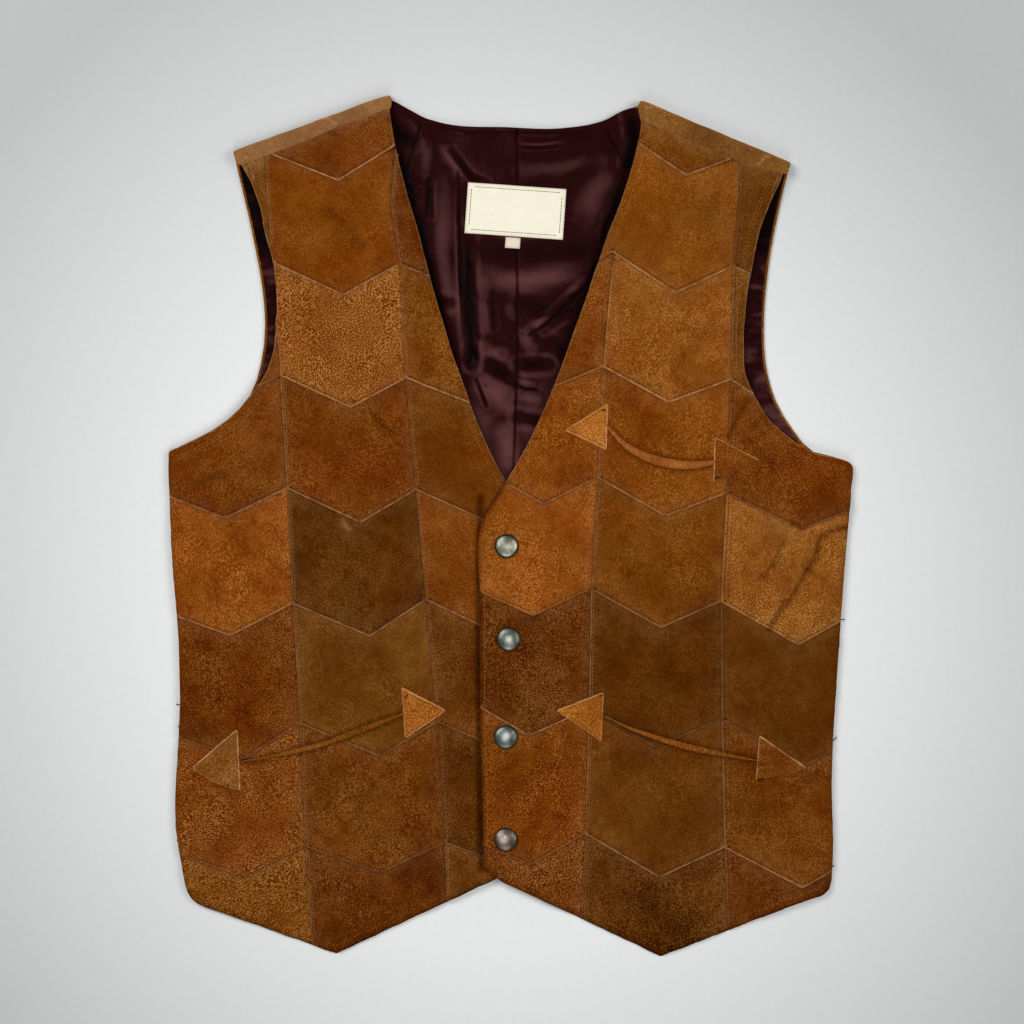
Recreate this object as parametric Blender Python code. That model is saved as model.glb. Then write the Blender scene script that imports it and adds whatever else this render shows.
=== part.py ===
"""Patchwork suede vest, snapped shut and laid flat on its back.

Left and right are the wearer's, so the right front lies at -X and the left front, which laps over
it, at +X. +Y runs from hem to neck, and +Z up from the surface that the back rests on. The tables
are in millimetres, and each mesh is made in metres. Angles are in radians.
"""
import math

import bpy
from mathutils import Vector
from mathutils.geometry import delaunay_2d_cdt, intersect_point_line

MM = 0.001

# Cloth walls, and the gap that is left between neighbours
SUEDE = 1.4
SATIN = 1.0
TRIM = 1.2
GAP = 0.3

# How the layers stack on the surface
LINING_LOW = SUEDE + GAP
FRONT_LOW = LINING_LOW + SATIN + GAP
SEWN_LOW = SUEDE + GAP
LAP_RISE = SUEDE + GAP

# Shoulder fold of the back: radius of the wall's middle, and steps round the half turn
FOLD_RADIUS = 3.0
FOLD_STEPS = 6

# Distances over which a front comes down to its side seam, over the back's hem, and off the lap
SIDE_ROLL = 9.0
HEM_CLEAR = 3.0
HEM_DROOP = 37.0
LAP_REST = 3.0
LAP_SLOPE = 16.0

# Point spacing on the cloth, and the rows of points across a fold as shares of its half width
SEAM_STEP = 17.0
EDGE_STEP = 11.0
LONG_STEP = 34.0
FRONT_GRID = 18.0
BACK_GRID = 46.0
LINING_GRID = 24.0
TAB_GRID = 11.0
FOLD_STEP = 11.0
FOLD_ROWS = (-1.0, -0.5, 0.0, 0.5, 1.0)

# Share of the spacing that loose points keep from an edge, the distance at which points weld, and
# the turns that count as a sharp corner and as a straight run
GRID_CLEARANCE = 0.36
WELD = 0.02
SHARPEST_MITRE = 0.12
STRAIGHT_TURN = 0.2
TRIANGLES_INSIDE = 1

# Ends of each shoulder's fold as seen from above: neck end, armhole end
SHOULDERS = {
    "right": ((-84.5, 301.5), (-194.5, 261.5)),
    "left": ((90.5, 297.5), (196.0, 253.5)),
}

# Seam between each front and the part of the back that folds over it: armhole end to neck end
YOKE_SEAMS = {
    "right": ((-189.5, 252.0), (-172.0, 258.5), (-140.5, 270.5), (-121.0, 279.0), (-84.5, 290.5)),
    "left": ((193.0, 246.0), (176.5, 249.0), (152.0, 257.5), (126.0, 269.0), (91.0, 282.0)),
}

# Neck edge of each front, from the shoulder down to the closing edge
NECK_EDGES = {
    "right": ((-84.5, 290.5), (-80.5, 265.0), (-63.0, 200.0), (-43.5, 130.0), (-11.0, 45.5), (13.5, 3.5)),
    "left": ((91.0, 282.0), (89.5, 272.0), (82.0, 242.0), (68.5, 206.0), (44.0, 136.0), (17.0, 68.0),
             (-3.5, 31.0), (-20.0, 3.5)),
}

# Closing edge of each front, from the neck down to the hem
CLOSING_EDGES = {
    "right": ((13.5, 3.5), (15.5, -8.0), (15.5, -120.0), (15.5, -235.0)),
    "left": ((-20.0, 3.5), (-22.0, -4.0), (-21.5, -122.0), (-19.0, -239.5), (-8.5, -247.5)),
}

# Straight hem of each front: closing edge, point, side
HEMS = {
    "right": ((15.5, -235.0), (-122.0, -299.5), (-214.0, -266.5)),
    "left": ((-8.5, -247.5), (105.0, -301.5), (220.0, -257.0)),
}

# Rounded lower corner of each front, from the hem to the side
CORNERS = {
    "right": ((-214.0, -266.5), (-221.0, -263.0), (-226.5, -256.0), (-228.5, -248.0)),
    "left": ((220.0, -257.0), (223.0, -254.0), (224.5, -248.0)),
}

# Side edge shared by the back and a front, from the hem to the armhole
SIDES = {
    "right": ((-228.5, -248.0), (-233.5, -220.0), (-231.5, -122.0), (-232.5, -80.0), (-237.0, -24.0),
              (-240.0, 52.0)),
    "left": ((224.5, -248.0), (225.5, -227.0), (224.5, -181.0), (229.0, -94.0), (234.0, -24.0),
             (240.0, 44.0)),
}

# Armhole edge of each front, from the side to the shoulder
FRONT_ARMHOLES = {
    "right": ((-240.0, 52.0), (-222.5, 60.0), (-209.0, 67.0), (-191.0, 81.0), (-176.5, 98.5),
              (-168.0, 115.0), (-164.5, 140.0), (-165.5, 180.0), (-172.0, 204.0), (-184.0, 236.5),
              (-189.5, 252.0)),
    "left": ((240.0, 44.0), (226.0, 48.5), (211.0, 52.0), (194.5, 62.0), (182.0, 73.0), (170.0, 92.0),
             (164.5, 106.0), (163.0, 137.0), (169.0, 181.0), (183.0, 223.0), (193.0, 246.0)),
}

# Armhole edge of the back, from the side up to where the shoulder starts to fold
BACK_ARMHOLES = {
    "right": ((-240.0, 52.0), (-222.5, 60.0), (-209.0, 67.0), (-191.0, 81.0), (-182.5, 91.5),
              (-175.0, 113.0), (-172.0, 140.0), (-173.0, 158.0), (-180.0, 200.0), (-189.5, 242.0)),
    "left": ((240.0, 44.0), (226.0, 48.5), (211.5, 52.0), (197.5, 67.0), (185.0, 88.0), (178.0, 116.0),
             (177.0, 137.0), (180.0, 179.0), (189.0, 227.5)),
}

BACK_NECK = ((78.5, 290.5), (66.0, 284.0), (38.0, 278.5), (-4.0, 279.0), (-46.0, 281.5), (-60.0, 285.5),
             (-70.5, 291.0))
BACK_HEM = ((-228.5, -248.0), (-110.0, -243.0), (0.0, -241.0), (110.0, -243.0), (224.5, -248.0))

# Edges of the lining, inside those of the back
LINING_INSETS = {"neck": 2.5, "shoulder": 2.5, "armhole": 2.5, "side": 12.0, "hem": 20.0}

# Seams between the patch columns, top to bottom, run past the front's edges. The right side column
# ends at the armhole twice, so its seam leaves the front between its first two patches.
COLUMN_SEAMS = {
    "right": {
        "side": ((-172.0, 268.0), (-170.0, 224.0), (-168.5, 208.0), (-177.0, 198.0), (-177.0, 140.0),
                 (-162.5, 126.0), (-156.5, 26.0), (-152.5, -54.5), (-147.5, -138.0), (-143.5, -224.5),
                 (-138.5, -304.0)),
        "centre": ((-77.0, 273.0), (-80.5, 264.5), (-83.5, 224.0), (-78.0, 185.0), (-73.5, 103.5),
                   (-66.5, 25.0), (-59.5, -52.0), (-51.5, -138.0), (-46.0, -222.0), (-45.0, -276.0)),
    },
    "left": {
        "centre": ((71.0, 191.0), (64.5, 111.0), (60.5, 33.5), (56.0, -44.5), (54.5, -128.5), (52.0, -215.5),
                   (48.5, -286.0)),
        "side": ((159.5, 264.0), (159.5, 232.0), (155.0, 183.5), (153.5, 102.0), (150.5, 25.0),
                 (146.5, -53.0), (147.0, -135.5), (149.0, -225.0), (152.5, -294.0)),
    },
}

# Lines between the rows of patches, top to bottom, each a zigzag from the side to the closing edge.
# Columns: side end, point in the side column, height on the side seam, point in the middle column,
# height on the centre seam, point in the centre column, centre end
ROW_LINES = {
    "right": (
        (None, None, 261.0, (-120.5, 241.0), 266.0, None, (-76.0, 268.5)),
        (None, None, 188.5, (-117.0, 161.0), 182.5, None, (-52.0, 171.5)),
        ((-186.0, 92.0), None, 105.0, (-112.0, 82.5), 103.0, None, (-22.0, 83.0)),
        ((-243.0, 21.5), (-199.5, 5.0), 26.0, (-105.0, 2.0), 25.0, (-17.0, 3.0), (19.0, 19.0)),
        ((-237.0, -62.5), (-196.0, -77.0), -54.5, (-98.5, -77.5), -52.0, (-17.0, -72.0), (19.0, -56.0)),
        ((-236.0, -147.0), (-187.5, -164.0), -138.5, (-91.5, -161.5), -137.5, (-17.0, -152.0),
         (19.0, -136.0)),
        ((-237.0, -229.0), (-188.0, -245.5), -224.5, (-91.0, -243.0), -222.0, (-17.0, -232.0),
         (19.0, -217.0)),
    ),
    "left": (
        (None, None, 258.0, (122.5, 244.5), None, None, (83.0, 270.5)),
        ((173.0, 173.0), None, 181.0, (115.0, 162.5), 191.0, None, (56.0, 181.0)),
        ((173.0, 89.0), None, 102.0, (110.5, 86.0), 111.0, None, (24.0, 94.5)),
        ((241.0, 11.5), (202.5, -3.0), 22.5, (108.0, 6.5), 33.5, (23.0, 14.5), (-9.0, 32.5)),
        ((236.0, -64.0), (201.0, -83.5), -53.0, (105.0, -71.5), -44.5, (15.5, -63.0), (-25.0, -45.0)),
        ((229.5, -155.0), (205.5, -168.0), -135.5, (101.0, -155.5), -128.5, (12.5, -147.0), (-25.0, -125.0)),
        ((229.0, -239.0), (204.0, -253.5), -225.0, (104.0, -246.0), -215.5, (13.5, -237.5), (-23.0, -221.5)),
    ),
}

# Places of the two seam heights in a row line
HEIGHT_COLUMNS = {"side": 2, "centre": 4}

# First row of each column, counted down from the shoulder. A column that starts lower leaves the
# rows above it to the middle column or to the armhole.
FIRST_ROWS = {
    ("right", "side"): 2,
    ("right", "middle"): 1,
    ("right", "centre"): 2,
    ("left", "centre"): 3,
    ("left", "middle"): 1,
    ("left", "side"): 2,
}

# Broad loft of each front above the layers under it. Columns: start, end, reach, height
LOFTS = {
    "right": (
        ((-189.5, 252.0), (-84.5, 290.5), 95.0, 3.0),
        ((-72.0, 222.0), (-27.0, 92.0), 52.0, 2.2),
        ((-177.0, 198.0), (-172.0, 106.0), 46.0, 2.0),
        ((-190.0, -40.0), (-120.0, -190.0), 76.0, 1.8),
    ),
    "left": (
        ((193.0, 246.0), (91.0, 282.0), 95.0, 3.0),
        ((78.0, 222.0), (26.0, 88.0), 52.0, 2.2),
        ((174.0, 196.0), (168.0, 98.0), 46.0, 2.2),
        ((196.0, 10.0), (186.0, -80.0), 60.0, 2.2),
        ((110.0, -120.0), (180.0, -190.0), 70.0, 1.6),
    ),
}

# Largest folds, as ridges where the height is above zero and troughs where it is below.
# Columns: path, half width, height
FRONT_FOLDS = {
    "right": (
        (((-98.5, 80.0), (-82.5, 63.5)), 9.0, 0.7),
    ),
    "left": (
        (((229.0, -3.0), (218.0, -10.5), (211.0, -28.0), (186.0, -64.0), (176.5, -80.0)), 9.0, -1.7),
        (((183.5, -8.0), (176.5, -32.0)), 7.0, -1.0),
        (((152.5, 64.5), (165.5, 89.5)), 8.0, 0.8),
    ),
}
LINING_FOLDS = (
    (((-41.0, 252.0), (-41.0, 150.0)), 7.5, 2.0),
    (((13.5, 134.5), (45.0, 161.0)), 8.0, 1.6),
    (((3.0, 97.0), (18.0, 95.0)), 6.0, 1.0),
    (((7.0, 266.0), (38.0, 266.5)), 5.0, 1.0),
)

# Pocket tabs. Columns: name, front, tip, upper corner, lower corner
TABS = (
    ("chest_inner_tab", "left", (37.5, 67.0), (68.0, 86.0), (67.0, 53.0)),
    ("chest_outer_tab", "left", (174.0, 46.0), (142.5, 62.5), (141.5, 30.5)),
    ("right_hip_outer_tab", "right", (-228.0, -173.0), (-191.0, -141.5), (-189.0, -185.5)),
    ("right_hip_inner_tab", "right", (-45.0, -129.0), (-76.5, -112.5), (-74.0, -149.0)),
    ("left_hip_inner_tab", "left", (31.5, -129.0), (65.0, -116.0), (63.5, -151.0)),
    ("left_hip_outer_tab", "left", (207.5, -169.5), (173.5, -146.0), (171.0, -178.0)),
)

# Pocket welts. Columns: name, front, middle line, width in the middle, width at the ends
WELTS = (
    ("chest_welt", "left", ((69.5, 67.0), (95.5, 49.0), (122.5, 42.0), (140.5, 44.5)), 6.5, 3.6),
    ("right_hip_welt", "right", ((-188.2, -164.8), (-145.5, -156.3), (-103.5, -141.5), (-77.2, -131.6)),
     5.0, 3.2),
    ("left_hip_welt", "left", ((66.0, -133.2), (102.5, -149.3), (139.0, -158.6), (170.4, -163.2)),
     5.0, 3.2),
)
WELT_STEP = 9.0

# Snap caps: places down the closing edge, and the turned outline as radius and height
SNAPS = ((-3.0, -14.0), (-1.5, -79.0), (-3.5, -147.5), (-3.5, -219.0))
SNAP_PROFILE = ((7.6, 0.0), (8.1, 0.6), (7.9, 1.2), (6.6, 2.1), (4.4, 2.9), (2.2, 3.3))
SNAP_TOP = 3.45
SNAP_SIDES = 20

# Neck label and size tag on the lining. Columns: name, centre, width, height
LABELS = (
    ("neck_label", (3.2, 220.1), 69.0, 35.6),
    ("size_tag", (1.3, 197.9), 10.5, 7.6),
)
LABEL_TILT = math.radians(-4.0)
LABEL_GRID = 12.0

# Suede tones as 8-bit sRGB, and the tone of each patch down its column
TONES = {
    "umber": (67, 38, 7),
    "olive": (87, 46, 9),
    "brown": (98, 52, 11),
    "chestnut": (109, 56, 12),
    "rust": (116, 62, 16),
    "amber": (126, 69, 20),
    "tan": (133, 75, 26),
    "sand": (122, 80, 42),
    "burgundy": (45, 17, 17),
    "cream": (231, 224, 202),
    "nickel": (150, 145, 136),
}
PATCH_TONES = {
    ("right", "side"): ("chestnut", "chestnut", "rust", "amber", "brown", "rust", "rust"),
    ("right", "middle"): ("chestnut", "rust", "tan", "chestnut", "olive", "brown", "brown", "olive"),
    ("right", "centre"): ("brown", "rust", "brown", "rust", "brown", "olive", "brown"),
    ("left", "centre"): ("rust", "amber", "tan", "brown", "chestnut", "brown"),
    ("left", "middle"): ("rust", "rust", "tan", "rust", "rust", "olive", "brown", "umber"),
    ("left", "side"): ("brown", "brown", "chestnut", "tan", "brown", "brown", "brown"),
}
SUEDE_ROUGHNESS = 0.92
SATIN_ROUGHNESS = 0.45
LABEL_ROUGHNESS = 0.8
SNAP_ROUGHNESS = 0.35


def smooth_step(value):
    """Zero below zero, one above one, and a smooth rise between."""
    value = min(max(value, 0.0), 1.0)
    return value * value * (3.0 - 2.0 * value)


def round_bump(share):
    """One at zero, falling smoothly to zero at one."""
    return max(1.0 - share * share, 0.0) ** 2


def resample(points, spacing):
    """Evenly spaced points along straight runs between the given ones, which are all kept."""
    result = [Vector(points[0])]
    for start, end in zip(points, points[1:]):
        start, end = Vector(start), Vector(end)
        steps = max(1, round((end - start).length / spacing))
        result.extend(start.lerp(end, step / steps) for step in range(1, steps + 1))
    return result


def smooth_curve(points, spacing):
    """Points about a spacing apart along a smooth curve through the given ones, which are all kept."""
    knots = [Vector(point) for point in points]
    runs = [after - before for before, after in zip(knots, knots[1:])]
    slopes = [run.normalized() for run in runs]
    middles = [(before * after_run.length + after * before_run.length).normalized()
               for before, after, before_run, after_run in zip(slopes, slopes[1:], runs, runs[1:])]
    tangents = [slopes[0]] + middles + [slopes[-1]]
    result = [knots[0]]
    for index, run in enumerate(runs):
        steps = max(1, round(run.length / spacing))
        start, end = knots[index], knots[index + 1]
        leaving, arriving = tangents[index] * run.length, tangents[index + 1] * run.length
        for step in range(1, steps + 1):
            t = step / steps
            result.append(start * (1 + 2 * t) * (1 - t) ** 2 + leaving * t * (1 - t) ** 2
                          + end * t * t * (3 - 2 * t) + arriving * t * t * (t - 1))
    return result


def closed_loop(*curves):
    """One closed loop from curves that meet end to end."""
    loop = []
    for curve in curves:
        loop.extend(curve[:-1])
    return loop


def level_at(points, value, along, across):
    """A curve's coordinate across, where its coordinate along has the given value."""
    ordered = sorted(points, key=lambda point: point[along])
    if value <= ordered[0][along]:
        return ordered[0][across]
    for before, after in zip(ordered, ordered[1:]):
        if value <= after[along]:
            share = (value - before[along]) / (after[along] - before[along])
            return before[across] + share * (after[across] - before[across])
    return ordered[-1][across]


def distance_to_path(point, path):
    """Distance from a point to the nearest place on a path of straight runs."""
    nearest = math.inf
    for start, end in zip(path, path[1:]):
        foot, share = intersect_point_line(point, start, end)
        if share <= 0.0:
            foot = Vector(start)
        elif share >= 1.0:
            foot = Vector(end)
        nearest = min(nearest, (point - foot.to_2d()).length)
    return nearest


def fold_height(folds, point):
    """Sum of the ridges and troughs at a point."""
    return sum(height * round_bump(distance_to_path(point, path) / half_width)
               for path, half_width, height in folds)


def under_edge():
    """Edge of the right front that the left front laps over, from the shoulder to the hem."""
    return NECK_EDGES["right"] + CLOSING_EDGES["right"][1:]


def front_low(side, point):
    """Height of a front's underside: the layers below, its loft and folds, the hem and the lap."""
    x, y = point
    edge = level_at(CORNERS[side] + SIDES[side], y, along=1, across=0)
    clear_of_side = smooth_step((abs(edge) - abs(x)) / SIDE_ROLL)
    lofts = [height * round_bump(distance_to_path(point, (start, end)) / reach)
             for start, end, reach, height in LOFTS[side]]
    raised = FRONT_LOW - SEWN_LOW + math.hypot(*lofts) + fold_height(FRONT_FOLDS[side], point)
    past_hem = level_at(BACK_HEM, x, along=0, across=1) - y
    resting = 1.0 - smooth_step((past_hem - HEM_CLEAR) / HEM_DROOP)
    low = (SEWN_LOW + raised * clear_of_side) * resting
    if side == "left":
        past_edge = x - level_at(under_edge(), y, along=1, across=0)
        low += LAP_RISE * (1.0 - smooth_step((past_edge - LAP_REST) / LAP_SLOPE))
    return low


def lining_low(point):
    """Height of the lining's underside."""
    return LINING_LOW + fold_height(LINING_FOLDS, point)


def near_any(point, paths, distance):
    """Whether a point lies within a distance of any of the paths."""
    return any(distance_to_path(point, path) < distance for path in paths)


def fill_points(loop, lines, spacing):
    """A staggered grid of points across a loop, clear of its edge and of the lines in it."""
    paths = [loop + loop[:1]] + lines
    low_x, high_x = min(p.x for p in loop), max(p.x for p in loop)
    low_y, high_y = min(p.y for p in loop), max(p.y for p in loop)
    row_height = spacing * math.sqrt(3.0) / 2.0
    points = []
    for row in range(int((high_y - low_y) / row_height) + 1):
        shift = spacing / 2.0 if row % 2 else 0.0
        for step in range(int((high_x - low_x) / spacing) + 1):
            point = Vector((low_x + shift + step * spacing, low_y + row * row_height))
            if not near_any(point, paths, spacing * GRID_CLEARANCE):
                points.append(point)
    return points


def fold_points(folds, loop, lines):
    """Points down the middle and both flanks of each fold, clear of the edge and of the lines."""
    paths = [loop + loop[:1]] + lines
    points = []
    for path, half_width, _ in folds:
        middle = resample(path, FOLD_STEP)
        run = (middle[-1] - middle[0]).normalized()
        aside = Vector((-run.y, run.x)) * half_width
        for share in FOLD_ROWS:
            points.extend(point + aside * share for point in middle)
    return [point for point in points if not near_any(point, paths, FOLD_STEP * GRID_CLEARANCE)]


def triangulate(loop, lines, loose):
    """Points and triangles inside a loop, with edges along the lines and corners at the loose points."""
    points = list(loop)
    edges = []
    for line in lines:
        first = len(points)
        points.extend(line)
        edges.extend((index, index + 1) for index in range(first, len(points) - 1))
    points.extend(loose)
    split = delaunay_2d_cdt(points, edges, [list(range(len(loop)))], TRIANGLES_INSIDE, WELD)
    corners, faces, inside = split[0], split[2], split[5]
    triangles = []
    for face, owners in zip(faces, inside):
        if owners:
            a, b, c = face
            turn = (corners[b] - corners[a]).cross(corners[c] - corners[a])
            triangles.append((a, b, c) if turn > 0 else (a, c, b))
    return corners, triangles


def rim(triangles):
    """The edge round a set of triangles, as the next corner after each corner."""
    edges = set()
    for a, b, c in triangles:
        edges.update(((a, b), (b, c), (c, a)))
    return {a: b for a, b in edges if (b, a) not in edges}


def pulled_in(corners, after, distance):
    """Corners by index, with those on the rim moved in square to it."""
    before = {follower: corner for corner, follower in after.items()}
    moved = {}
    for corner, follower in after.items():
        arriving = (corners[corner] - corners[before[corner]]).normalized()
        leaving = (corners[follower] - corners[corner]).normalized()
        inward = Vector((-arriving.y - leaving.y, arriving.x + leaving.x))
        spread = max(1.0 + arriving.dot(leaving), SHARPEST_MITRE)
        moved[corner] = corners[corner] + inward * distance / spread
    return moved


def linear(channel):
    """An 8-bit sRGB channel as a linear value."""
    share = channel / 255.0
    return share / 12.92 if share <= 0.04045 else ((share + 0.055) / 1.055) ** 2.4


def add_material(piece, tone, roughness, metallic=0.0):
    """A material of the piece's own, in one of the named tones."""
    material = bpy.data.materials.new(piece.name)
    material.use_nodes = True
    shader = material.node_tree.nodes["Principled BSDF"]
    colour = [linear(channel) for channel in TONES[tone]] + [1.0]
    shader.inputs["Base Color"].default_value = colour
    shader.inputs["Roughness"].default_value = roughness
    shader.inputs["Metallic"].default_value = metallic
    material.diffuse_color = colour
    piece.data.materials.append(material)


def add_piece(name, points, faces):
    """An object of closed faces, placed at the middle of its points, which are in millimetres."""
    middle = sum(points, Vector((0.0, 0.0, 0.0))) / len(points)
    mesh = bpy.data.meshes.new(name)
    mesh.from_pydata([(point - middle) * MM for point in points], [], faces)
    piece = bpy.data.objects.new(name, mesh)
    piece.location = middle * MM
    piece.parent = bpy.data.objects["vest"]
    bpy.context.scene.collection.objects.link(piece)
    return piece


def add_wall(name, lower, upper, triangles):
    """A closed wall between two layers of points, given by corner, that share their triangles."""
    order = {corner: place for place, corner in enumerate(sorted(lower))}
    count = len(order)
    points = [lower[corner] for corner in sorted(lower)] + [upper[corner] for corner in sorted(lower)]
    faces = []
    for a, b, c in triangles:
        faces.append((order[c], order[b], order[a]))
        faces.append((order[a] + count, order[b] + count, order[c] + count))
    for corner, follower in rim(triangles).items():
        faces.append((order[corner], order[follower], order[follower] + count, order[corner] + count))
    return add_piece(name, points, faces)


def add_sheet(name, corners, triangles, low, thickness, inset=0.0):
    """A wall of one thickness whose underside has the height that low gives at each point."""
    used = {corner for triangle in triangles for corner in triangle}
    places = {corner: corners[corner] for corner in used}
    if inset:
        places.update(pulled_in(corners, rim(triangles), inset))
    lower = {corner: Vector((place.x, place.y, low(place))) for corner, place in places.items()}
    upper = {corner: point + Vector((0.0, 0.0, thickness)) for corner, point in lower.items()}
    return add_wall(name, lower, upper, triangles)


def front_loop(side):
    """Edge of a front, once round against the clock."""
    curves = (
        smooth_curve(FRONT_ARMHOLES[side], EDGE_STEP),
        smooth_curve(YOKE_SEAMS[side], SEAM_STEP),
        smooth_curve(NECK_EDGES[side], SEAM_STEP),
        resample(CLOSING_EDGES[side], SEAM_STEP),
        resample(HEMS[side], SEAM_STEP),
        resample(CORNERS[side], SEAM_STEP),
        smooth_curve(SIDES[side], SEAM_STEP),
    )
    loop = closed_loop(*curves)
    return loop[::-1] if side == "right" else loop


def row_line(side, row):
    """One zigzag between rows, with its corners on the column seams."""
    seams = COLUMN_SEAMS[side]
    side_end, side_point, side_height, middle_point, centre_height, centre_point, centre_end = row
    stations = [side_end, side_point]
    if side_height is not None:
        stations.append((level_at(seams["side"], side_height, along=1, across=0), side_height))
    stations.append(middle_point)
    if centre_height is not None:
        stations.append((level_at(seams["centre"], centre_height, along=1, across=0), centre_height))
    stations += [centre_point, centre_end]
    return [Vector(station) for station in stations if station is not None]


def column_seam(side, column):
    """A column seam with corners where the row lines meet it."""
    seam = COLUMN_SEAMS[side][column]
    heights = [row[HEIGHT_COLUMNS[column]] for row in ROW_LINES[side]]
    low, high = seam[-1][1], seam[0][1]
    meetings = [(level_at(seam, height, along=1, across=0), height)
                for height in heights if height is not None and low < height < high]
    stations = sorted(set(seam) | set(meetings), key=lambda point: -point[1])
    return resample(stations, SEAM_STEP)


def patch_at(side, point):
    """Column and row of the patch at a point of a front, with rows counted down from the shoulder."""
    toward_centre = 1.0 if side == "right" else -1.0
    past = {name: (point.x - level_at(seam, point.y, along=1, across=0)) * toward_centre
            for name, seam in COLUMN_SEAMS[side].items()}
    column = "side" if past["side"] < 0.0 else "centre" if past["centre"] > 0.0 else "middle"
    above = [row for row in ROW_LINES[side]
             if level_at(row_line(side, row), point.x, along=0, across=1) > point.y]
    row = len(above) + 1
    if column == "centre" and row < FIRST_ROWS[side, column]:
        column = "middle"
    return column, row


def bend_lines(side):
    """Lines on a front where it starts down to the side seam and where it comes off the lap."""
    toward_centre = 1.0 if side == "right" else -1.0
    shifts = [(SIDES[side], SIDE_ROLL * toward_centre)]
    if side == "left":
        shifts += [(under_edge(), LAP_REST), (under_edge(), LAP_REST + LAP_SLOPE)]
    return [resample([(x + shift, y) for x, y in path], SEAM_STEP) for path, shift in shifts]


def add_front(side):
    """All the patches of one front."""
    loop = front_loop(side)
    seams = [column_seam(side, column) for column in COLUMN_SEAMS[side]]
    rows = [resample(row_line(side, row), SEAM_STEP) for row in ROW_LINES[side]]
    lines = seams + rows + bend_lines(side)
    loose = fold_points(FRONT_FOLDS[side], loop, lines)
    fold_paths = [path for path, _, _ in FRONT_FOLDS[side]]
    loose += fill_points(loop, lines + fold_paths, FRONT_GRID)
    corners, triangles = triangulate(loop, lines, loose)
    patches = {}
    for triangle in triangles:
        middle = sum((corners[corner] for corner in triangle), Vector((0.0, 0.0))) / 3.0
        patches.setdefault(patch_at(side, middle), []).append(triangle)
    for (column, row), members in sorted(patches.items()):
        piece = add_sheet(f"{side}_{column}_patch_{row}", corners, members,
                          lambda place: front_low(side, place), SUEDE, inset=GAP / 2.0)
        tones = PATCH_TONES[side, column]
        add_material(piece, tones[row - FIRST_ROWS[side, column]], SUEDE_ROUGHNESS)


def shoulder_frame(side):
    """Where a shoulder's wall leaves the flat: neck end, way along the fold, way out of it, length."""
    neck_end, arm_end = (Vector(end) for end in SHOULDERS[side])
    along = (arm_end - neck_end).normalized()
    out = Vector((-along.y, along.x)) if side == "left" else Vector((along.y, -along.x))
    start = neck_end - out * (FOLD_RADIUS + SUEDE / 2.0)
    return start, along, out, (arm_end - neck_end).length


def unfolded(side, point):
    """Place on the flat cut of a point that is folded over onto the front."""
    start, along, out, _ = shoulder_frame(side)
    offset = point - start
    return start + along * offset.dot(along) + out * (math.pi * FOLD_RADIUS - offset.dot(out))


def folded(point):
    """Middle of the back's wall, and the way to its inner face, for a place on the flat cut."""
    side = "right" if point.x < 0.0 else "left"
    start, _, out, _ = shoulder_frame(side)
    past = (point - start).dot(out)
    flat = point - out * past
    if past <= 0.0:
        return Vector((point.x, point.y, SUEDE / 2.0)), Vector((0.0, 0.0, 1.0))
    angle = min(past / FOLD_RADIUS, math.pi)
    over = max(past - math.pi * FOLD_RADIUS, 0.0)
    place = flat + out * (FOLD_RADIUS * math.sin(angle) - over)
    height = SUEDE / 2.0 + FOLD_RADIUS * (1.0 - math.cos(angle))
    if over > 0.0:
        seam_depth = distance_to_path(place, YOKE_SEAMS[side])
        share = smooth_step(over / (over + seam_depth))
        height += share * (front_low(side, place) + SUEDE / 2.0 - height)
    inner = Vector((-out.x * math.sin(angle), -out.y * math.sin(angle), math.cos(angle)))
    return Vector((place.x, place.y, height)), inner


def back_curves():
    """Edges of the back where it lies flat, once round against the clock, by name."""
    arm_ends, neck_ends = {}, {}
    for side in SIDES:
        start, along, _, length = shoulder_frame(side)
        arm_ends[side], neck_ends[side] = start + along * length, start
    armholes = {side: smooth_curve(BACK_ARMHOLES[side] + (arm_ends[side],), EDGE_STEP) for side in SIDES}
    shoulders = {side: resample((arm_ends[side], neck_ends[side]), SEAM_STEP) for side in SIDES}
    sides = {side: smooth_curve(SIDES[side], LONG_STEP) for side in SIDES}
    neck = smooth_curve((neck_ends["left"],) + BACK_NECK + (neck_ends["right"],), EDGE_STEP)
    return [
        ("armhole", armholes["left"]),
        ("shoulder", shoulders["left"]),
        ("neck", neck),
        ("shoulder", shoulders["right"][::-1]),
        ("armhole", armholes["right"][::-1]),
        ("side", sides["right"][::-1]),
        ("hem", smooth_curve(BACK_HEM, LONG_STEP)),
        ("side", sides["left"]),
    ]


def shoulder_cut(side):
    """Flat cut of the part of a shoulder that folds over: its edge, and lines round the fold."""
    start, along, out, length = shoulder_frame(side)
    half_turn = math.pi * FOLD_RADIUS
    seam = [unfolded(side, point) for point in smooth_curve(YOKE_SEAMS[side], SEAM_STEP)]
    arm_end = start + along * length
    edge_steps = [step / FOLD_STEPS for step in range(FOLD_STEPS)]
    arm_turn, neck_turn = arm_end + out * half_turn, start + out * half_turn
    edge = [arm_end.lerp(arm_turn, step) for step in edge_steps] + [arm_turn] + seam
    edge += [neck_turn] + [start.lerp(neck_turn, step) for step in edge_steps[::-1]]
    lines = [resample((arm_end.lerp(arm_turn, step), start.lerp(neck_turn, step)), SEAM_STEP)
             for step in edge_steps + [1.0]]
    return edge, lines


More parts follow.
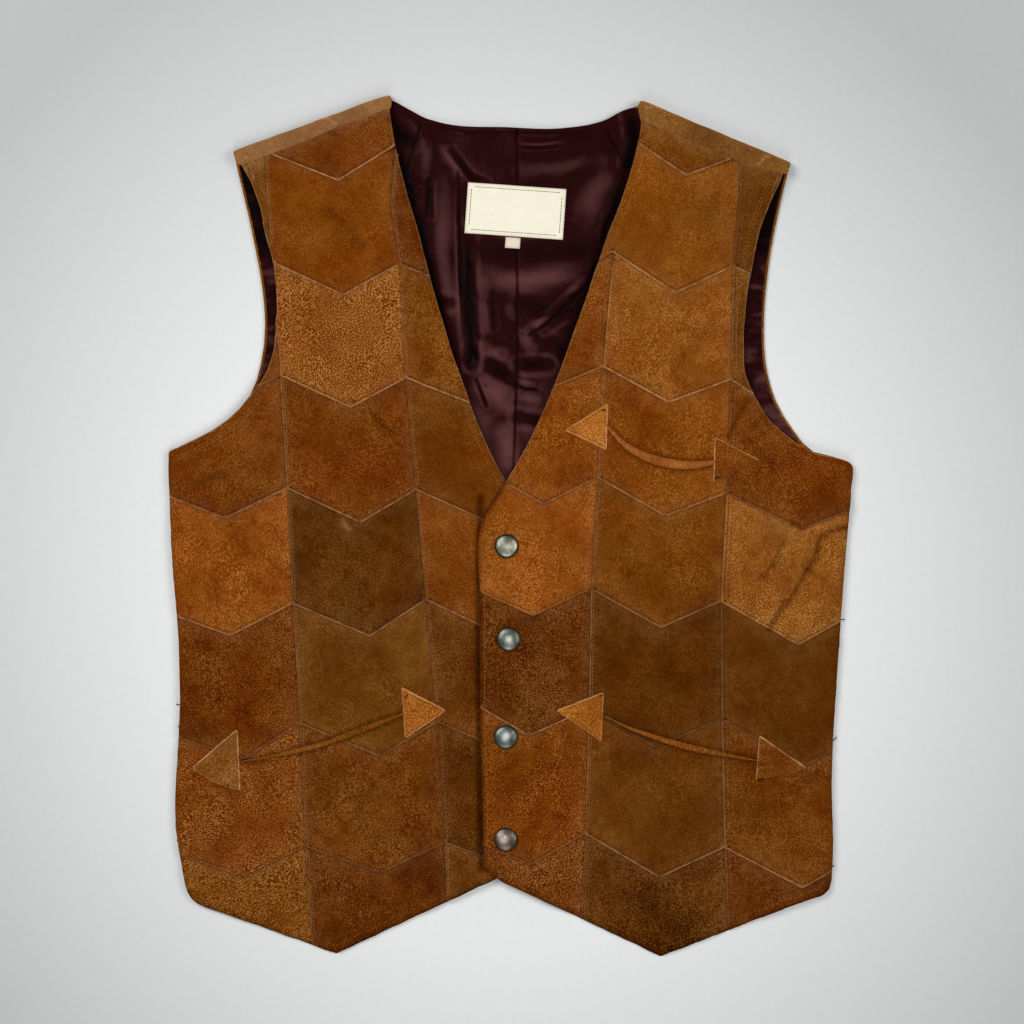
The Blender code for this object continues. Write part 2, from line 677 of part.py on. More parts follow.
def add_back():
    """Back panel, flat on the surface, with its shoulders folded over to the fronts."""
    curves, lines = [], []
    sides = iter(("left", "right"))
    for name, curve in back_curves():
        if name == "shoulder":
            side = next(sides)
            edge, folds = shoulder_cut(side)
            curve = edge if side == "left" else edge[::-1]
            lines += folds
        curves.append(curve)
    loop = closed_loop(*curves)
    corners, triangles = triangulate(loop, lines, fill_points(loop, lines, BACK_GRID))
    lower, upper = {}, {}
    for corner in {corner for triangle in triangles for corner in triangle}:
        middle, inner = folded(corners[corner])
        lower[corner] = middle - inner * SUEDE / 2.0
        upper[corner] = middle + inner * SUEDE / 2.0
    piece = add_wall("back", lower, upper, triangles)
    add_material(piece, "sand", SUEDE_ROUGHNESS)


def inset_loop(curves, insets):
    """The loop that runs inside named curves, each by its own inset."""
    loop = closed_loop(*(curve for _, curve in curves))
    distances = [insets[name] for name, curve in curves for _ in curve[:-1]]
    result = []
    for index, corner in enumerate(loop):
        arriving = (corner - loop[index - 1]).normalized()
        leaving = (loop[(index + 1) % len(loop)] - corner).normalized()
        before, after = distances[index - 1], distances[index]
        turn = arriving.cross(leaving)
        if abs(turn) < STRAIGHT_TURN:
            shift = Vector((-leaving.y, leaving.x)) * (before + after) / 2.0
        else:
            shift = (leaving * before - arriving * after) / turn
        result.append(corner + shift)
    return result


def add_lining():
    """Back lining, just above the back."""
    loop = inset_loop(back_curves(), LINING_INSETS)
    paths = [path for path, _, _ in LINING_FOLDS]
    loose = fold_points(LINING_FOLDS, loop, []) + fill_points(loop, paths, LINING_GRID)
    corners, triangles = triangulate(loop, [], loose)
    piece = add_sheet("back_lining", corners, triangles, lining_low, SATIN)
    add_material(piece, "burgundy", SATIN_ROUGHNESS)


def add_patch_on_front(name, side, loop, spacing):
    """A piece of trim on a front, made from the front's surface moved out."""
    area = sum(before.cross(after) for before, after in zip(loop, loop[1:] + loop[:1]))
    ordered = loop if area > 0 else loop[::-1]
    bends = bend_lines(side)
    corners, triangles = triangulate(ordered, bends, fill_points(ordered, bends, spacing))
    piece = add_sheet(name, corners, triangles,
                      lambda place: front_low(side, place) + SUEDE + GAP, TRIM)
    add_material(piece, "amber", SUEDE_ROUGHNESS)


def add_pockets():
    """Tabs and welts of the three pockets."""
    for name, side, *outline in TABS:
        loop = resample(outline + outline[:1], TAB_GRID)[:-1]
        add_patch_on_front(name, side, loop, TAB_GRID)
    for name, side, middle_line, middle_width, end_width in WELTS:
        middle = smooth_curve(middle_line, WELT_STEP)
        upper, lower = [], []
        for index, point in enumerate(middle):
            run = middle[min(index + 1, len(middle) - 1)] - middle[max(index - 1, 0)]
            aside = Vector((-run.y, run.x)).normalized()
            share = math.sin(math.pi * index / (len(middle) - 1))
            half_width = (end_width + (middle_width - end_width) * share) / 2.0
            upper.append(point + aside * half_width)
            lower.append(point - aside * half_width)
        add_patch_on_front(name, side, lower + upper[::-1], WELT_STEP)


def add_snaps():
    """Turned snap caps on the left front."""
    for number, place in enumerate(SNAPS, start=1):
        base = front_low("left", Vector(place)) + SUEDE + GAP
        points = [Vector((place[0], place[1], base)), Vector((place[0], place[1], base + SNAP_TOP))]
        for radius, height in SNAP_PROFILE:
            for step in range(SNAP_SIDES):
                angle = 2.0 * math.pi * step / SNAP_SIDES
                points.append(Vector((place[0] + radius * math.cos(angle),
                                      place[1] + radius * math.sin(angle), base + height)))
        faces = []
        last = 2 + (len(SNAP_PROFILE) - 1) * SNAP_SIDES
        for step in range(SNAP_SIDES):
            after = (step + 1) % SNAP_SIDES
            faces.append((0, 2 + after, 2 + step))
            faces.append((1, last + step, last + after))
            for ring in range(len(SNAP_PROFILE) - 1):
                low, high = 2 + ring * SNAP_SIDES, 2 + (ring + 1) * SNAP_SIDES
                faces.append((low + step, low + after, high + after, high + step))
        piece = add_piece(f"snap_{number}", points, faces)
        piece.data.shade_smooth()
        add_material(piece, "nickel", SNAP_ROUGHNESS, metallic=1.0)


def add_labels():
    """Neck label and size tag, lying on the lining."""
    across = Vector((math.cos(LABEL_TILT), math.sin(LABEL_TILT)))
    up = Vector((-across.y, across.x))
    for name, centre, width, height in LABELS:
        outline = [Vector(centre) + across * (width / 2.0 * right) + up * (height / 2.0 * top)
                   for right, top in ((-1, -1), (1, -1), (1, 1), (-1, 1))]
        loop = resample(outline + outline[:1], LABEL_GRID)[:-1]
        corners, triangles = triangulate(loop, [], fill_points(loop, [], LABEL_GRID))
        piece = add_sheet(name, corners, triangles,
                          lambda place: lining_low(place) + SATIN + GAP, SATIN)
        add_material(piece, "cream", LABEL_ROUGHNESS)


def clear_scene():
    """Remove every object that the file opened with."""
    for thing in list(bpy.data.objects):
        bpy.data.objects.remove(thing, do_unlink=True)


def main():
    """Build the whole vest under one empty."""
    clear_scene()
    holder = bpy.data.objects.new("vest", None)
    bpy.context.scene.collection.objects.link(holder)
    add_back()
    add_lining()
    add_front("right")
    add_front("left")
    add_pockets()
    add_snaps()
    add_labels()


main()
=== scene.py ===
"""Looks of a patchwork suede vest that lies flat on its back: nap, seams, stitching, satin and snaps.

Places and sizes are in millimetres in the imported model's frame, and meshes are made in metres. Left
and right are the wearer's, so the right front lies at -X. A place on the cloth is given as seen from
above, and heights are added to it.
"""
import math

import bmesh
import bpy
import numpy as np
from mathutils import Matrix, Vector, noise
from mathutils.bvhtree import BVHTree
from mathutils.geometry import delaunay_2d_cdt


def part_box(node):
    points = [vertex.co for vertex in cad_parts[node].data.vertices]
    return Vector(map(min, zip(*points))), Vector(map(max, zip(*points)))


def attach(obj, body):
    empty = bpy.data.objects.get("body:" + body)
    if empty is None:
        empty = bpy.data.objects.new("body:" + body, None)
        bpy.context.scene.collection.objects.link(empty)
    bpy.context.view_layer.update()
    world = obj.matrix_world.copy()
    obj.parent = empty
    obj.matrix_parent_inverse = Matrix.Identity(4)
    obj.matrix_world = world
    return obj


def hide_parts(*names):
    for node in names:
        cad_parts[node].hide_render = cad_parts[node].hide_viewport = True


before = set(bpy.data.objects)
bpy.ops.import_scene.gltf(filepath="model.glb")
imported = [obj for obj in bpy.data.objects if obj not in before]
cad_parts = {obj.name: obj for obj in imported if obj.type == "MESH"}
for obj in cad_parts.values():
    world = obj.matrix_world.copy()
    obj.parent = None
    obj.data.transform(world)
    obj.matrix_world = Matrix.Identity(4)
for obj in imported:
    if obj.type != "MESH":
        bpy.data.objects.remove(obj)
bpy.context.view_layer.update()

MM = 0.001
FAR = 1000.0
TINY = 1e-9
DOWN = Vector((0.0, 0.0, -1.0))

# Camera: straight above the middle of the picture, which is this wide where the cloth lies
VIEW_MIDDLE = (0.8, 9.8)
VIEW_WIDTH = 716.2
VIEW_HEIGHT = 2600.0
CLOTH_LEVEL = 3.0

# Lights in metres and watts. Columns: name, place, diameter, power
LIGHTS = (
    ("key", (-1.1, 0.9, 1.5), 1.2, 27.0),
    ("fill", (1.4, 0.1, 1.4), 1.2, 17.0),
    ("low", (0.0, -1.6, 1.3), 1.2, 12.0),
    ("lamp", (0.0, -0.1, 3.4), 0.35, 7.0),
)
WORLD_TONE = (0.95, 0.98, 1.0, 1.0)
WORLD_STRENGTH = 0.16
# Floor: half its side and its level in metres, its painted pool of light's stretch and middle, where the
# painted shade starts and ends to darken it outwards, and how dark it gets. Grain as size and detail
FLOOR_HALF = 12.0
FLOOR_LEVEL = -0.0002
FLOOR_STRETCH = (1.09, 1.0, 1.0)
FLOOR_LIGHT_MIDDLE = (-0.0127, -0.049, 0.0)
FLOOR_SHADE_FADE = (0.24, 0.5)
FLOOR_SHADE_TINT = (0.62, 0.62, 0.62, 1.0)
FLOOR_FINISH = {"Roughness": 0.8, "Specular IOR Level": 0.1}
FLOOR_GRAIN = (4.0, 3.0)
FLOOR_TONES = ((0.72, 0.73, 0.726, 1.0), (0.762, 0.772, 0.768, 1.0))

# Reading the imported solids: how far up a face has to look, and how sharp a turn stays a corner
UPWARD = 0.3
CORNER = math.radians(29.0)
WELD = 0.005
TRIANGLES_INSIDE = 1
HALF_TURN, QUARTER_TURN = 180, 90

# Grid of heights that the cloth lies on
MAP_STEP = 3.0
FRONT_BLUR = 4.5
TRIM_STEP = 1.5
TRIM_BLUR = 2.2
LINING_BLUR = 2.5
LABEL_BLUR = 3.0
MAP_MARGIN = 6.0

# Points of a cut: along its edge, on rings inside the edge, and on the grid that fills it
EDGE_STEP = 2.2
RINGS = (0.45, 0.9, 1.6, 2.4, 3.3, 4.6)
RING_CLEARANCE = 0.93
RUN_CLEARANCE = 0.96
GRID_STEP = 2.7
LINING_STEP = 4.0
FINE_STEP = 1.5

# Least height and wall of a shell, and least width in metres and filled share of a cut
THINNEST = 0.05
LEAST_WIDTH, LEAST_FILL = 0.01, 0.3

# Suede as sewn: wall, rounded edge, and how one patch laps over the next
SUEDE = 1.1
EDGE_RADIUS = 0.9
EDGE_DROP = 0.9
MEETING = 1.0
SEAM_GAP = 0.15
TUCK = 4.0
YOKE_TUCK = 0.6
LAP_RISE = 0.75
LAP_REACH = 9.0
TUCK_DROP = 0.4
TUCK_REACH = 7.0
TUCK_SLOPE = 1.5
SLACK = 0.35
SLACK_REACH = 14.0

# Sewing
SEAM_STITCH = 2.0
SECOND_STITCH = 5.0
GROOVE = 0.3
GROOVE_WIDTH = 1.1
STITCH_PITCH = 2.7
STITCH_LENGTH = 2.0
STITCH_POINTS = 4
THREAD_RADIUS = 0.26
THREAD_SIDES = 5
# How deep a thread's ends are sunk and how far it stands out, as shares of its radius
THREAD_SUNK, THREAD_LIFT = -0.8, 0.55
KNOT_LENGTH = 1.9
KNOT_RADIUS = 0.28
KNOT_REACH = 5.0
KNOT_TURN, KNOT_SPREAD = 20.0, 14.0

# What a stretch of edge does: laps over the patch below it or beside it, goes under one, or is free
OVER = ("over", "lap", "double")
EDGE_STITCHES = (("neck", 5.4), ("closing", 3.2), ("hem", 5.6), ("armhole", 5.4), ("armhole", 7.4))
FLUSH = ("under", "yoke")
TAB_EDGES = ("upper", "lower", "base")
# Where each free edge of the garment lies, and how far it has to look its way
HEM_TOP, SIDE_TOP, YOKE_LOW, ARMHOLE_LOW, NECK_LOW = -230.0, 60.0, 235.0, 35.0, 32.0
SIDE_X, ARMHOLE_X = 214.0, 155.0
HEM_TILT, SIDE_TILT, YOKE_TILT = 0.3, 0.8, 0.75
# Waves of the cut edges. Columns: kind of edge, size, height
EDGE_WAVES = (("side", 9.0, 0.5), ("hem", 9.0, 0.5), ("armhole", 14.0, 0.6), ("neck", 22.0, 0.5))
EDGE_SEED = 17.0

# Outline points of two narrow tips, drawn out along the armhole. Columns: node, point, points in its place
TIPS = (
    ("right_side_patch_2", (-171.9, 204), ((-171.9, 204), (-168.4, 192.4))),
    ("right_middle_patch_2", (-171.8, 203.9), ((-168.1, 199),)),
    ("right_side_patch_3", (-165.2, 128.4), ((-164.2, 139), (-165.2, 128.4))),
    ("right_middle_patch_3", (-165.2, 128.8), ((-163.3, 133),)),
)

# Outline points closer than this are dropped, and corners under the arms are rounded.
# Columns: node, corner, radius
CLOSE = 0.6
CORNER_SHARE, CORNER_POINTS = 0.45, 7
ROUNDED = (("left_side_patch_4", (239, 44), 6), ("right_side_patch_4", (-239.6, 51), 3))

# How far the fronts' armholes are cut in below the shoulders: depth, where it starts going up, reach,
# and the share that is left on top. Then where the top starts, its reach, and how far the cut goes up
ARMHOLE_TRIM = {"right": (3.5, 194.0, 40.0, 0.3), "left": (2.4, 178.0, 30.0, 1.0)}
ARMHOLE_TOP = (236.0, 18.0)
ARMHOLE_SLOPE = 0.37

# Lift of the fronts' edges off what lies below them: height, reach, and for the neck where it starts
# and where it is full
NECK_LIFT = (2.4, 20.0, 40.0, 100.0)
CLOSING_LIFT = (0.9, 9.0)

# Small waves of the cloth, and puckers near seams. Columns: size, height, seed
WAVES = ((46.0, 0.5, 3.0), (19.0, 0.28, 4.0), (8.0, 0.1, 5.0))
PUCKERS = ((7.0, 0.2, 11.0),)
PUCKER_REACH = 6.0

# Creases of the fronts. Columns: front, path, half width, height
CREASES = (
    ("left", ((237, -0.3), (223.8, -3.8), (216.2, -8), (213, -21), (205, -33.5), (197.5, -48),
              (188, -59), (181, -71.5)), 4.6, -1.4),
    ("left", ((190.5, -10), (187.5, -18), (182.5, -28), (173, -38)), 4, -0.8),
    ("left", ((208.5, -30), (211.5, -34), (220, -38.5)), 3.6, -0.7),
    ("left", ((204, -12), (196, -34)), 5, 0.6),
    ("left", ((152, 62), (157, 74), (165.5, 89.5)), 3.4, -0.9),
    ("left", ((160, 66), (170, 88)), 5, 0.5),
    ("left", ((166, 60), (186, 40)), 7, -0.4),
    ("left", ((120, -232), (150, -214)), 9, 0.4),
    ("right", ((-98.6, 80), (-82.5, 63.5)), 3.6, -0.7),
    ("right", ((-222, 30), (-196, 36)), 8, -0.5),
    ("right", ((-200, -92), (-182, -118)), 8, 0.5),
    ("right", ((-126, 220), (-104, 196)), 9, -0.4),
)
# Length of a crease's tapered ends as a share of it, height left at its ends, and its flanks
CREASE_TAPER = 0.3
TAPER_END = 0.35
FLANK = 0.3
FLANK_PLACE = 1.4
FLANK_WIDTH = 0.6

# Dips round the snaps, and the sunk line along each side of a pocket's welt
SNAP_DIP = (0.4, 12.0)
WELT_GROOVE = (0.9, 1.5)

# Dirt and painted shade, the shade mainly at the closing edge and the yoke. Columns: kind of edge,
# strength, reach
EDGE_DIRT_AND_SHADE = (("hem", 1.0, 1.8), ("armhole", 0.2, 4.5), ("side", 0.45, 1.6), ("neck", 0.25, 1.6),
             ("closing", 0.8, 1.7), ("yoke", 0.2, 3.0))
# Painted shadow on a patch just past where it goes under its neighbour: strength, reach
UNDER_LAP_SHADOW = (0.65, 0.5)
SEAM_WEAR = (0.06, 5.0)
# Painted shade in the groove that the stitches of a lapped seam lie in
GROOVE_SHADE = 0.2
# Dirt and painted shadow round a pocket's welt: strength, reach
WELT_DIRT_AND_SHADE = (0.6, 4.0)
# Painted shade along the creases that dip, and the share of a crease's half width that it covers
CREASE_SHADE = 0.6
CREASE_LINE = 0.75
# Darker rim of a welt or label, painted shade on the welts: strength, reach
RIM_DARKENING = (0.5, 0.8)
RAW_WIDTH, RAW_FADE = 0.35, 0.35
# How pale the cut edge is where it is free
FREE_EDGES = (("armhole", 0.45), ("neck", 0.35))
YOKE_FADING = (0.16, 4.0)
# Columns: front, place, radius, strength
STAINS = (
    ("left", (95, -262), 22, 0.6),
    ("left", (112, -284), 32, 0.42),
    ("left", (166, 150), 16, 0.15),
    ("left", (150, 222), 34, 0.2),
    ("right", (-40, -250), 30, 0.25),
)
# Dark bands: the shade of the edge that laps over, and stitch marks.
# Columns: front, path, half width, strength
SHADES = (
    ("right", ((-21.4, 20), (-22.9, -20), (-22.8, -122), (-22.2, -180), (-21, -240)),
     4, 0.85),
    ("right", ((-185.6, 254), (-180.6, 244.5)), 0.9, 0.75),
    ("left", ((187.6, 249), (180.8, 234.5)), 0.9, 0.75),
)
# Light scuffs. Columns: front, path, half width, strength
SCUFFS = (
    ("right", ((-117.4, 4), (-113.3, -4)), 2.4, 0.3),
    ("right", ((-188, 252), (-178, 256)), 11, 0.3),
    ("right", ((-183, 252), (-179.6, 242.5)), 1, 0.5),
    ("left", ((190, 251), (182.5, 235)), 0.9, 0.35),
    ("left", ((178, 252), (188, 250)), 9, 0.25),
)

# Suede tones as 8-bit sRGB
TONES = {
    "moss": (84, 44, 3),
    "umber": (91, 42, 0),
    "bark": (90, 48, 8),
    "cocoa": (98, 54, 16),
    "russet": (101, 48, 2),
    "nut": (103, 53, 11),
    "hazel": (105, 63, 30),
    "chestnut": (108, 54, 11),
    "ginger": (114, 57, 3),
    "rust": (115, 60, 17),
    "saddle": (112, 62, 14),
    "dust": (111, 68, 30),
    "amber": (124, 66, 18),
    "tawny": (126, 73, 33),
    "tan": (131, 76, 42),
    "camel": (135, 80, 50),
    "honey": (136, 75, 35),
    "clay": (140, 89, 70),
    "straw": (165, 109, 92),
    "oat": (160, 100, 100),
    "wheat": (152, 91, 55),
    "fawn": (123, 78, 68),
    "sand": (117, 74, 39),
}
RAW_TONE = (214, 166, 116)
GOLD_TONE = (176, 112, 44)
# Tint by which dirt and painted shade darken the suede
DIRT_AND_SHADE_TINT = (0.26, 0.17, 0.09, 1.0)

# Patches down each column. Columns: tone, flecks in its nap, how pale its pointed edge and side edge are
PATCH_LOOKS = {
    "right_side": (("dust", 0.8, 0.4, 0.0), ("rust", 0.8, 0.4, 0.0), ("chestnut", 0.8, 0.7, 0.0),
                   ("honey", 1.2, 0.65, 0.0), ("russet", 1.2, 0.3, 0.0), ("rust", 2.0, 0.15, 0.0),
                   ("saddle", 2.2, 0.0, 0.0)),
    "right_middle": (("chestnut", 0.7, 0.95, 0.22), ("ginger", 0.6, 0.9, 0.32), ("tan", 2.5, 0.75, 0.26),
                     ("chestnut", 0.85, 0.7, 0.35), ("moss", 0.6, 0.75, 0.3), ("hazel", 0.6, 0.3, 0.26),
                     ("nut", 1.05, 0.15, 0.22), ("umber", 1.05, 0.0, 0.32)),
    "right_centre": (("umber", 0.7, 0.6, 0.3), ("saddle", 1.1, 0.9, 0.22), ("nut", 0.55, 0.65, 0.2),
                     ("rust", 0.9, 0.6, 0.16), ("cocoa", 0.8, 0.3, 0.2), ("bark", 0.85, 0.45, 0.16),
                     ("cocoa", 0.85, 0.0, 0.22)),
    "left_centre": (("rust", 1.0, 0.8, 0.0), ("amber", 1.15, 0.45, 0.0), ("honey", 1.15, 0.2, 0.0),
                    ("umber", 1.4, 0.8, 0.0), ("ginger", 1.5, 0.2, 0.0), ("russet", 1.9, 0.0, 0.0)),
    "left_middle": (("saddle", 0.8, 0.7, 0.16), ("tawny", 0.65, 0.8, 0.16), ("camel", 1.0, 0.95, 0.5),
                    ("amber", 0.8, 0.6, 0.42), ("saddle", 0.75, 0.5, 0.22), ("moss", 0.4, 0.2, 0.42),
                    ("cocoa", 0.5, 0.7, 0.36), ("moss", 1.0, 0.0, 0.22)),
    "left_side": (("hazel", 0.6, 0.6, 0.12), ("dust", 0.85, 0.7, 0.22), ("chestnut", 0.8, 0.2, 0.12),
                  ("clay", 1.2, 0.4, 0.2), ("bark", 0.35, 0.2, 0.2), ("nut", 0.9, 0.7, 0.3),
                  ("umber", 0.9, 0.0, 0.16)),
}
FIRST_ROWS = {"right_side": 2, "right_middle": 1, "right_centre": 2, "left_centre": 3, "left_middle": 1,
              "left_side": 2}
# Tabs. Columns: tone, flecks, how pale the upper edge, lower edge and base are, and the tack as place,
# turn and length
TAB_LOOKS = {
    "chest_inner_tab": ("straw", 1.4, (0.7, 0.8, 0.8), ((64.8, 80.9), 15, 3.3)),
    "chest_outer_tab": ("rust", 1.3, (0.5, 0.05, 1), ((144.4, 33.9), 25, 4.5)),
    "right_hip_outer_tab": ("fawn", 0.9, (1, 0.15, 1), ((-197.4, -181.4), 10, 2)),
    "right_hip_inner_tab": ("wheat", 1.8, (0.9, 0.6, 0.5), ((-72.8, -118.9), 60, 3.4)),
    "left_hip_inner_tab": ("wheat", 1.6, (1, 0.1, 0.4), ((62.7, -118.6), 20, 2.4)),
    "left_hip_outer_tab": ("nut", 1, (1, 0.1, 0.5), ((174.4, -176.8), 20, 4.5)),
}
TAB_CORNER = 2.4
# Where the tip of a tab's solid lies, where its cloth has its shorter tip, and how far that reaches
TAB_TIPS = {"right_hip_outer_tab": ((-228, -173), (-223, -169.3), 15)}
TAB_STITCH = 1.9
TAB_LIFT, TAB_WALL = 1.0, 0.9
TAB_TILT = 0.8
WELT_TONES = {"chest_welt": "oat", "right_hip_welt": "tawny", "left_hip_welt": "camel"}
WELT_FLECKS = 0.9
WELT_LIFT, WELT_WALL = 1.3, 1.2
# Radius and drop of a welt's rolled edge, and what is turned down all round
WELT_EDGE = (2.0, 1.0)
WELT_TURN = 0.6
# Middle line and width along each welt, points from row to row, and how often they are smoothed
WELT_POINTS = 6
WELT_SMOOTHING = 10
WELT_SHAPES = {
    "chest_welt": ((66.5, 71, 1.6), (70.5, 66, 2.6), (80.1, 55.7, 4.2), (95.3, 47.4, 6.4),
                   (111.9, 43.1, 6.6), (127.2, 42.2, 5.6), (143.5, 44.7, 3)),
    "right_hip_welt": ((-191, -165.2, 0.9), (-165.6, -160.7, 2.6), (-145.5, -156.1, 3.8),
                       (-129.1, -151.9, 3.4), (-110.6, -144.7, 4.5), (-92.8, -138, 3.8),
                       (-73.5, -130.6, 1.6)),
    "left_hip_welt": ((64, -132, 0.9), (82, -141.3, 2.2), (104.7, -149, 3.7), (124.7, -154.9, 4.9),
                      (145.6, -159, 3.2), (159.5, -161.7, 2), (173, -164, 0.9)),
}

# First seeds of the tabs' and welts' textures, and how far a seed moves and turns one
TAB_SEED, WELT_SEED = 60, 70
TEXTURE_SHIFT, TEXTURE_TURN = 0.37, 2.4
SHIFT_SHARES = (1.0, 0.7, 0.3)
# Range that most of a noise lies in
MOST = (0.35, 0.65)
# Sizes in the suede's nap, and what each adds to the mix of its dark and light tone
NAP = {"drifts": (80.0, 0.95), "clouds": (30.0, 1.0), "blotches": (13.0, 0.9), "mottle": (5.0, 0.7)}
# Share of that which is left in a nap without flecks
CALM = 0.4
# How far the tones of the nap lie from the patch's own, in 8-bit steps, and each channel's share of a step
NAP_DARK, NAP_LIGHT, GRAIN_DARK, GRAIN_PALE = -26, 24, -40, 58
STEP_SHARES = (0.98, 0.98, 0.8)
HUE_SIZE = 42.0
MIRRORED = (-1.0, 1.0, 1.0)
HUES = ((1.05, 0.97, 0.86, 1.0), (0.96, 1.03, 1.12, 1.0))
SUEDE_GAIN = (1.02, 0.95, 0.41)
# Grain: size, and how far it darkens and lightens
GRAIN = (1.1, 0.42, 0.42)
GRAIN_DETAIL = 0.5
FINEST = 1.6
# Ranges of the noises that make pits, pale tips, gold fibres and breaks in a raw edge
PIT_RANGE, TIP_RANGE, FIBRE_RANGE, BREAK_RANGE = (0.3, 0.5), (0.5, 0.7), (0.56, 0.74), (0.35, 0.6)
# How much the grain's strength drifts from place to place
COARSE = (0.5, 1.45)
FIBRE = 0.9
# Least that shows of a raw edge
EVENNESS = 0.4
FIBRE_SHARE = 0.15
FIBRE_STRETCH = (1.0, 0.42, 1.0)
# Shares of mottling, grain and fibres in the fine relief, its strength and its depth
NAP_RELIEF = (0.8, 1.0, 0.5)
NAP_BUMP = 0.6
NAP_DEPTH = 0.4
SUEDE_FINISH = {
    "Roughness": 1.0,
    "Diffuse Roughness": 1.0,
    "Specular IOR Level": 0.0,
    "Sheen Weight": 0.12,
    "Sheen Roughness": 0.5,
    "Sheen Tint": (0.9, 0.48, 0.08, 1.0),
}

# Lining: wall, radius and drop of its edge, its lowest level,
# and the share of what is below that is taken up
SATIN = 0.6
LINING_EDGE = (1.2, 0.8)
LINING_LOWEST = 2.2
LINING_REST = 0.85
# How far it is turned out at the neck and in the armholes, how softly, and where the neck is
LINING_TURN = 2.6
LINING_ARMHOLE_TURN = 0.9
LINING_EASE = 6.0
NECK_HALF, LINING_NECK_LOW = 91.0, 250.0
# Waves. Columns: size, height, seed
LINING_WAVES = ((15.0, 0.5, 23.0), (6.0, 0.15, 25.0))
# Part of the lining that shows in the neck, how high it puffs up there,
# and how many of the points lie under the fronts' edges
NECK_OPENING = ((-82, 284), (-62, 200), (-43, 130), (-10, 45), (0, 34), (17, 68),
                (44, 136), (68, 206), (88, 278), (40, 280), (0, 282), (-40, 284))
OPENING_RISE = (1.8, 14.0)
SHADED_POINTS = 9
LINING_SEAMS = (
    ((4.3, 280), (4.5, 120), (1.5, 30)),
    ((-62, 284), (-73, 245)),
    ((67.3, 276), (80.6, 252)),
)
LINING_SEAM_GROOVE = (0.6, 1.3)
LINING_SEAM_SHADE = 0.7
# Folds. Columns: path, half width, height, shine
LINING_FOLDS = (
    (((-37, 248), (-36, 200), (-35, 170), (-33, 142), (-31, 127)), 1.7, -1, -1),
    (((-30.5, 205), (-30, 170), (-28.5, 140), (-27.5, 116)), 5.5, -2, -0.9),
    (((-27.5, 123), (-27, 113)), 5, -0.8, -0.8),
    (((-34, 168), (-32, 130)), 1.7, 1, 0.35),
    (((-46, 236), (-49, 190), (-46, 168), (-41, 140), (-37, 128)), 9, 1.8, 0.45),
    (((-53, 157), (-42, 156)), 5, -0.6, -0.5),
    (((-57, 241), (-57, 217)), 3, -0.9, -0.8),
    (((-58, 267), (-60, 246)), 5, 0.9, 0.3),
    (((-42, 262), (-34, 252), (-27, 244), (-17, 240)), 3, -1, -0.6),
    (((-47, 263), (-39, 251), (-35, 241)), 4.5, 1, 0.35),
    (((8, 249), (34, 250), (62, 258)), 7, 0.9, 0.3),
    (((72, 250), (59, 234), (51, 214)), 12, 1.2, 0.35),
    (((-16, 172), (12, 172), (46, 176)), 10, 1.3, 0.6),
    (((-28, 193), (10, 193), (57, 194)), 7, -0.8, -0.35),
    (((10, 153), (24, 150), (42, 154)), 8, -1, -0.6),
    (((13, 133.5), (25, 141.5), (40, 156), (56, 171)), 1.6, -0.8, -0.8),
    (((11, 137), (22, 145), (37, 159.5), (52, 174)), 3, 1, 0.4),
    (((24, 138), (40, 150)), 4, -0.6, -0.4),
    (((28, 127), (36, 122)), 6, -0.6, -0.4),
    (((8, 134), (14, 124)), 6, 0.8, 0.45),
    (((-14, 112), (-6, 107), (2, 103)), 6, -0.9, -0.6),
    (((6, 112), (26, 113)), 5, -0.9, -0.7),
    (((-20, 124), (-6, 120)), 6, 0.9, 0.4),
    (((-18, 98), (-4, 88)), 9, 0.8, 0.45),
    (((-24, 102), (-17, 84)), 1.8, -0.8, -0.8),
    (((2, 98.5), (10, 96), (19, 95)), 1.4, -0.7, -0.8),
    (((3, 101.5), (16, 99.5)), 2, 0.7, 0.35),
    (((4, 91), (18, 88)), 4, 0.8, 0.4),
    (((6, 76), (17, 74)), 5.5, -0.8, -0.7),
    (((-4, 64), (0, 46)), 8, 0.6, 0.45),
    (((-19, 170), (-17, 130)), 4.5, 0.8, 0.3),
    (((-14, 156), (-12, 140)), 3, -0.6, -0.35),
    (((-74, 242), (-67, 240)), 2, 1, 0.4),
    (((-75, 237.5), (-68, 235)), 1.8, -0.8, -0.8),
    (((-73, 233), (-67, 229)), 1.8, 1, 0.4),
    (((-70, 229), (-66, 222)), 1.8, -0.7, -0.8),
    (((5, 264.6), (20, 264.2), (38, 266.2)), 1.4, -0.4, -0.55),
    (((6, 267), (22, 266.6), (36, 268.6)), 1.8, 0.4, 0.25),
    (((-76, 276), (-70, 268)), 6, -0.6, -0.7),
    (((83, 290), (86, 272), (82, 254)), 5, -0.6, -0.9),
    (((68, 216), (64, 200)), 3, -0.5, -0.7),
    (((-62, 281.5), (-30, 275.8), (0, 275.5), (40, 275), (66, 277.5)), 1.2, -0.3, -0.4),
)
# Lining in the armholes: where it starts outwards and upwards, and how softly
ARMHOLE_REACH, ARMHOLE_SOFTNESS = 150.0, 20.0
ARMPIT, ARMPIT_REACH = 45.0, 20.0
# Wrinkles there as height, length and width, and shade as lowest, highest, spread and size of its folds
ARMHOLE_WRINKLE = (0.7, 14.0, 5.0)
ARMHOLE_SHADE = (0.05, 0.9, 0.85, 5.0)
# Where its painted shade gets darker going up, over how far, and how its folds are drawn out
ARMHOLE_DUSK = (178.0, 24.0)
ARMHOLE_FOLDS = (0.35, 1.0)
WRINKLE_SEED, SHADE_SEED = 21.0, 27.0
# Shade along the neck's edges: strength, reach, where it starts going up, over how far
OPENING_SHADE = (0.8, 4.5, 90.0, 60.0)
# Shine of the lowest part: strength, where it is full, where it ends
LOWER_SHINE = (0.3, 70.0, 130.0)
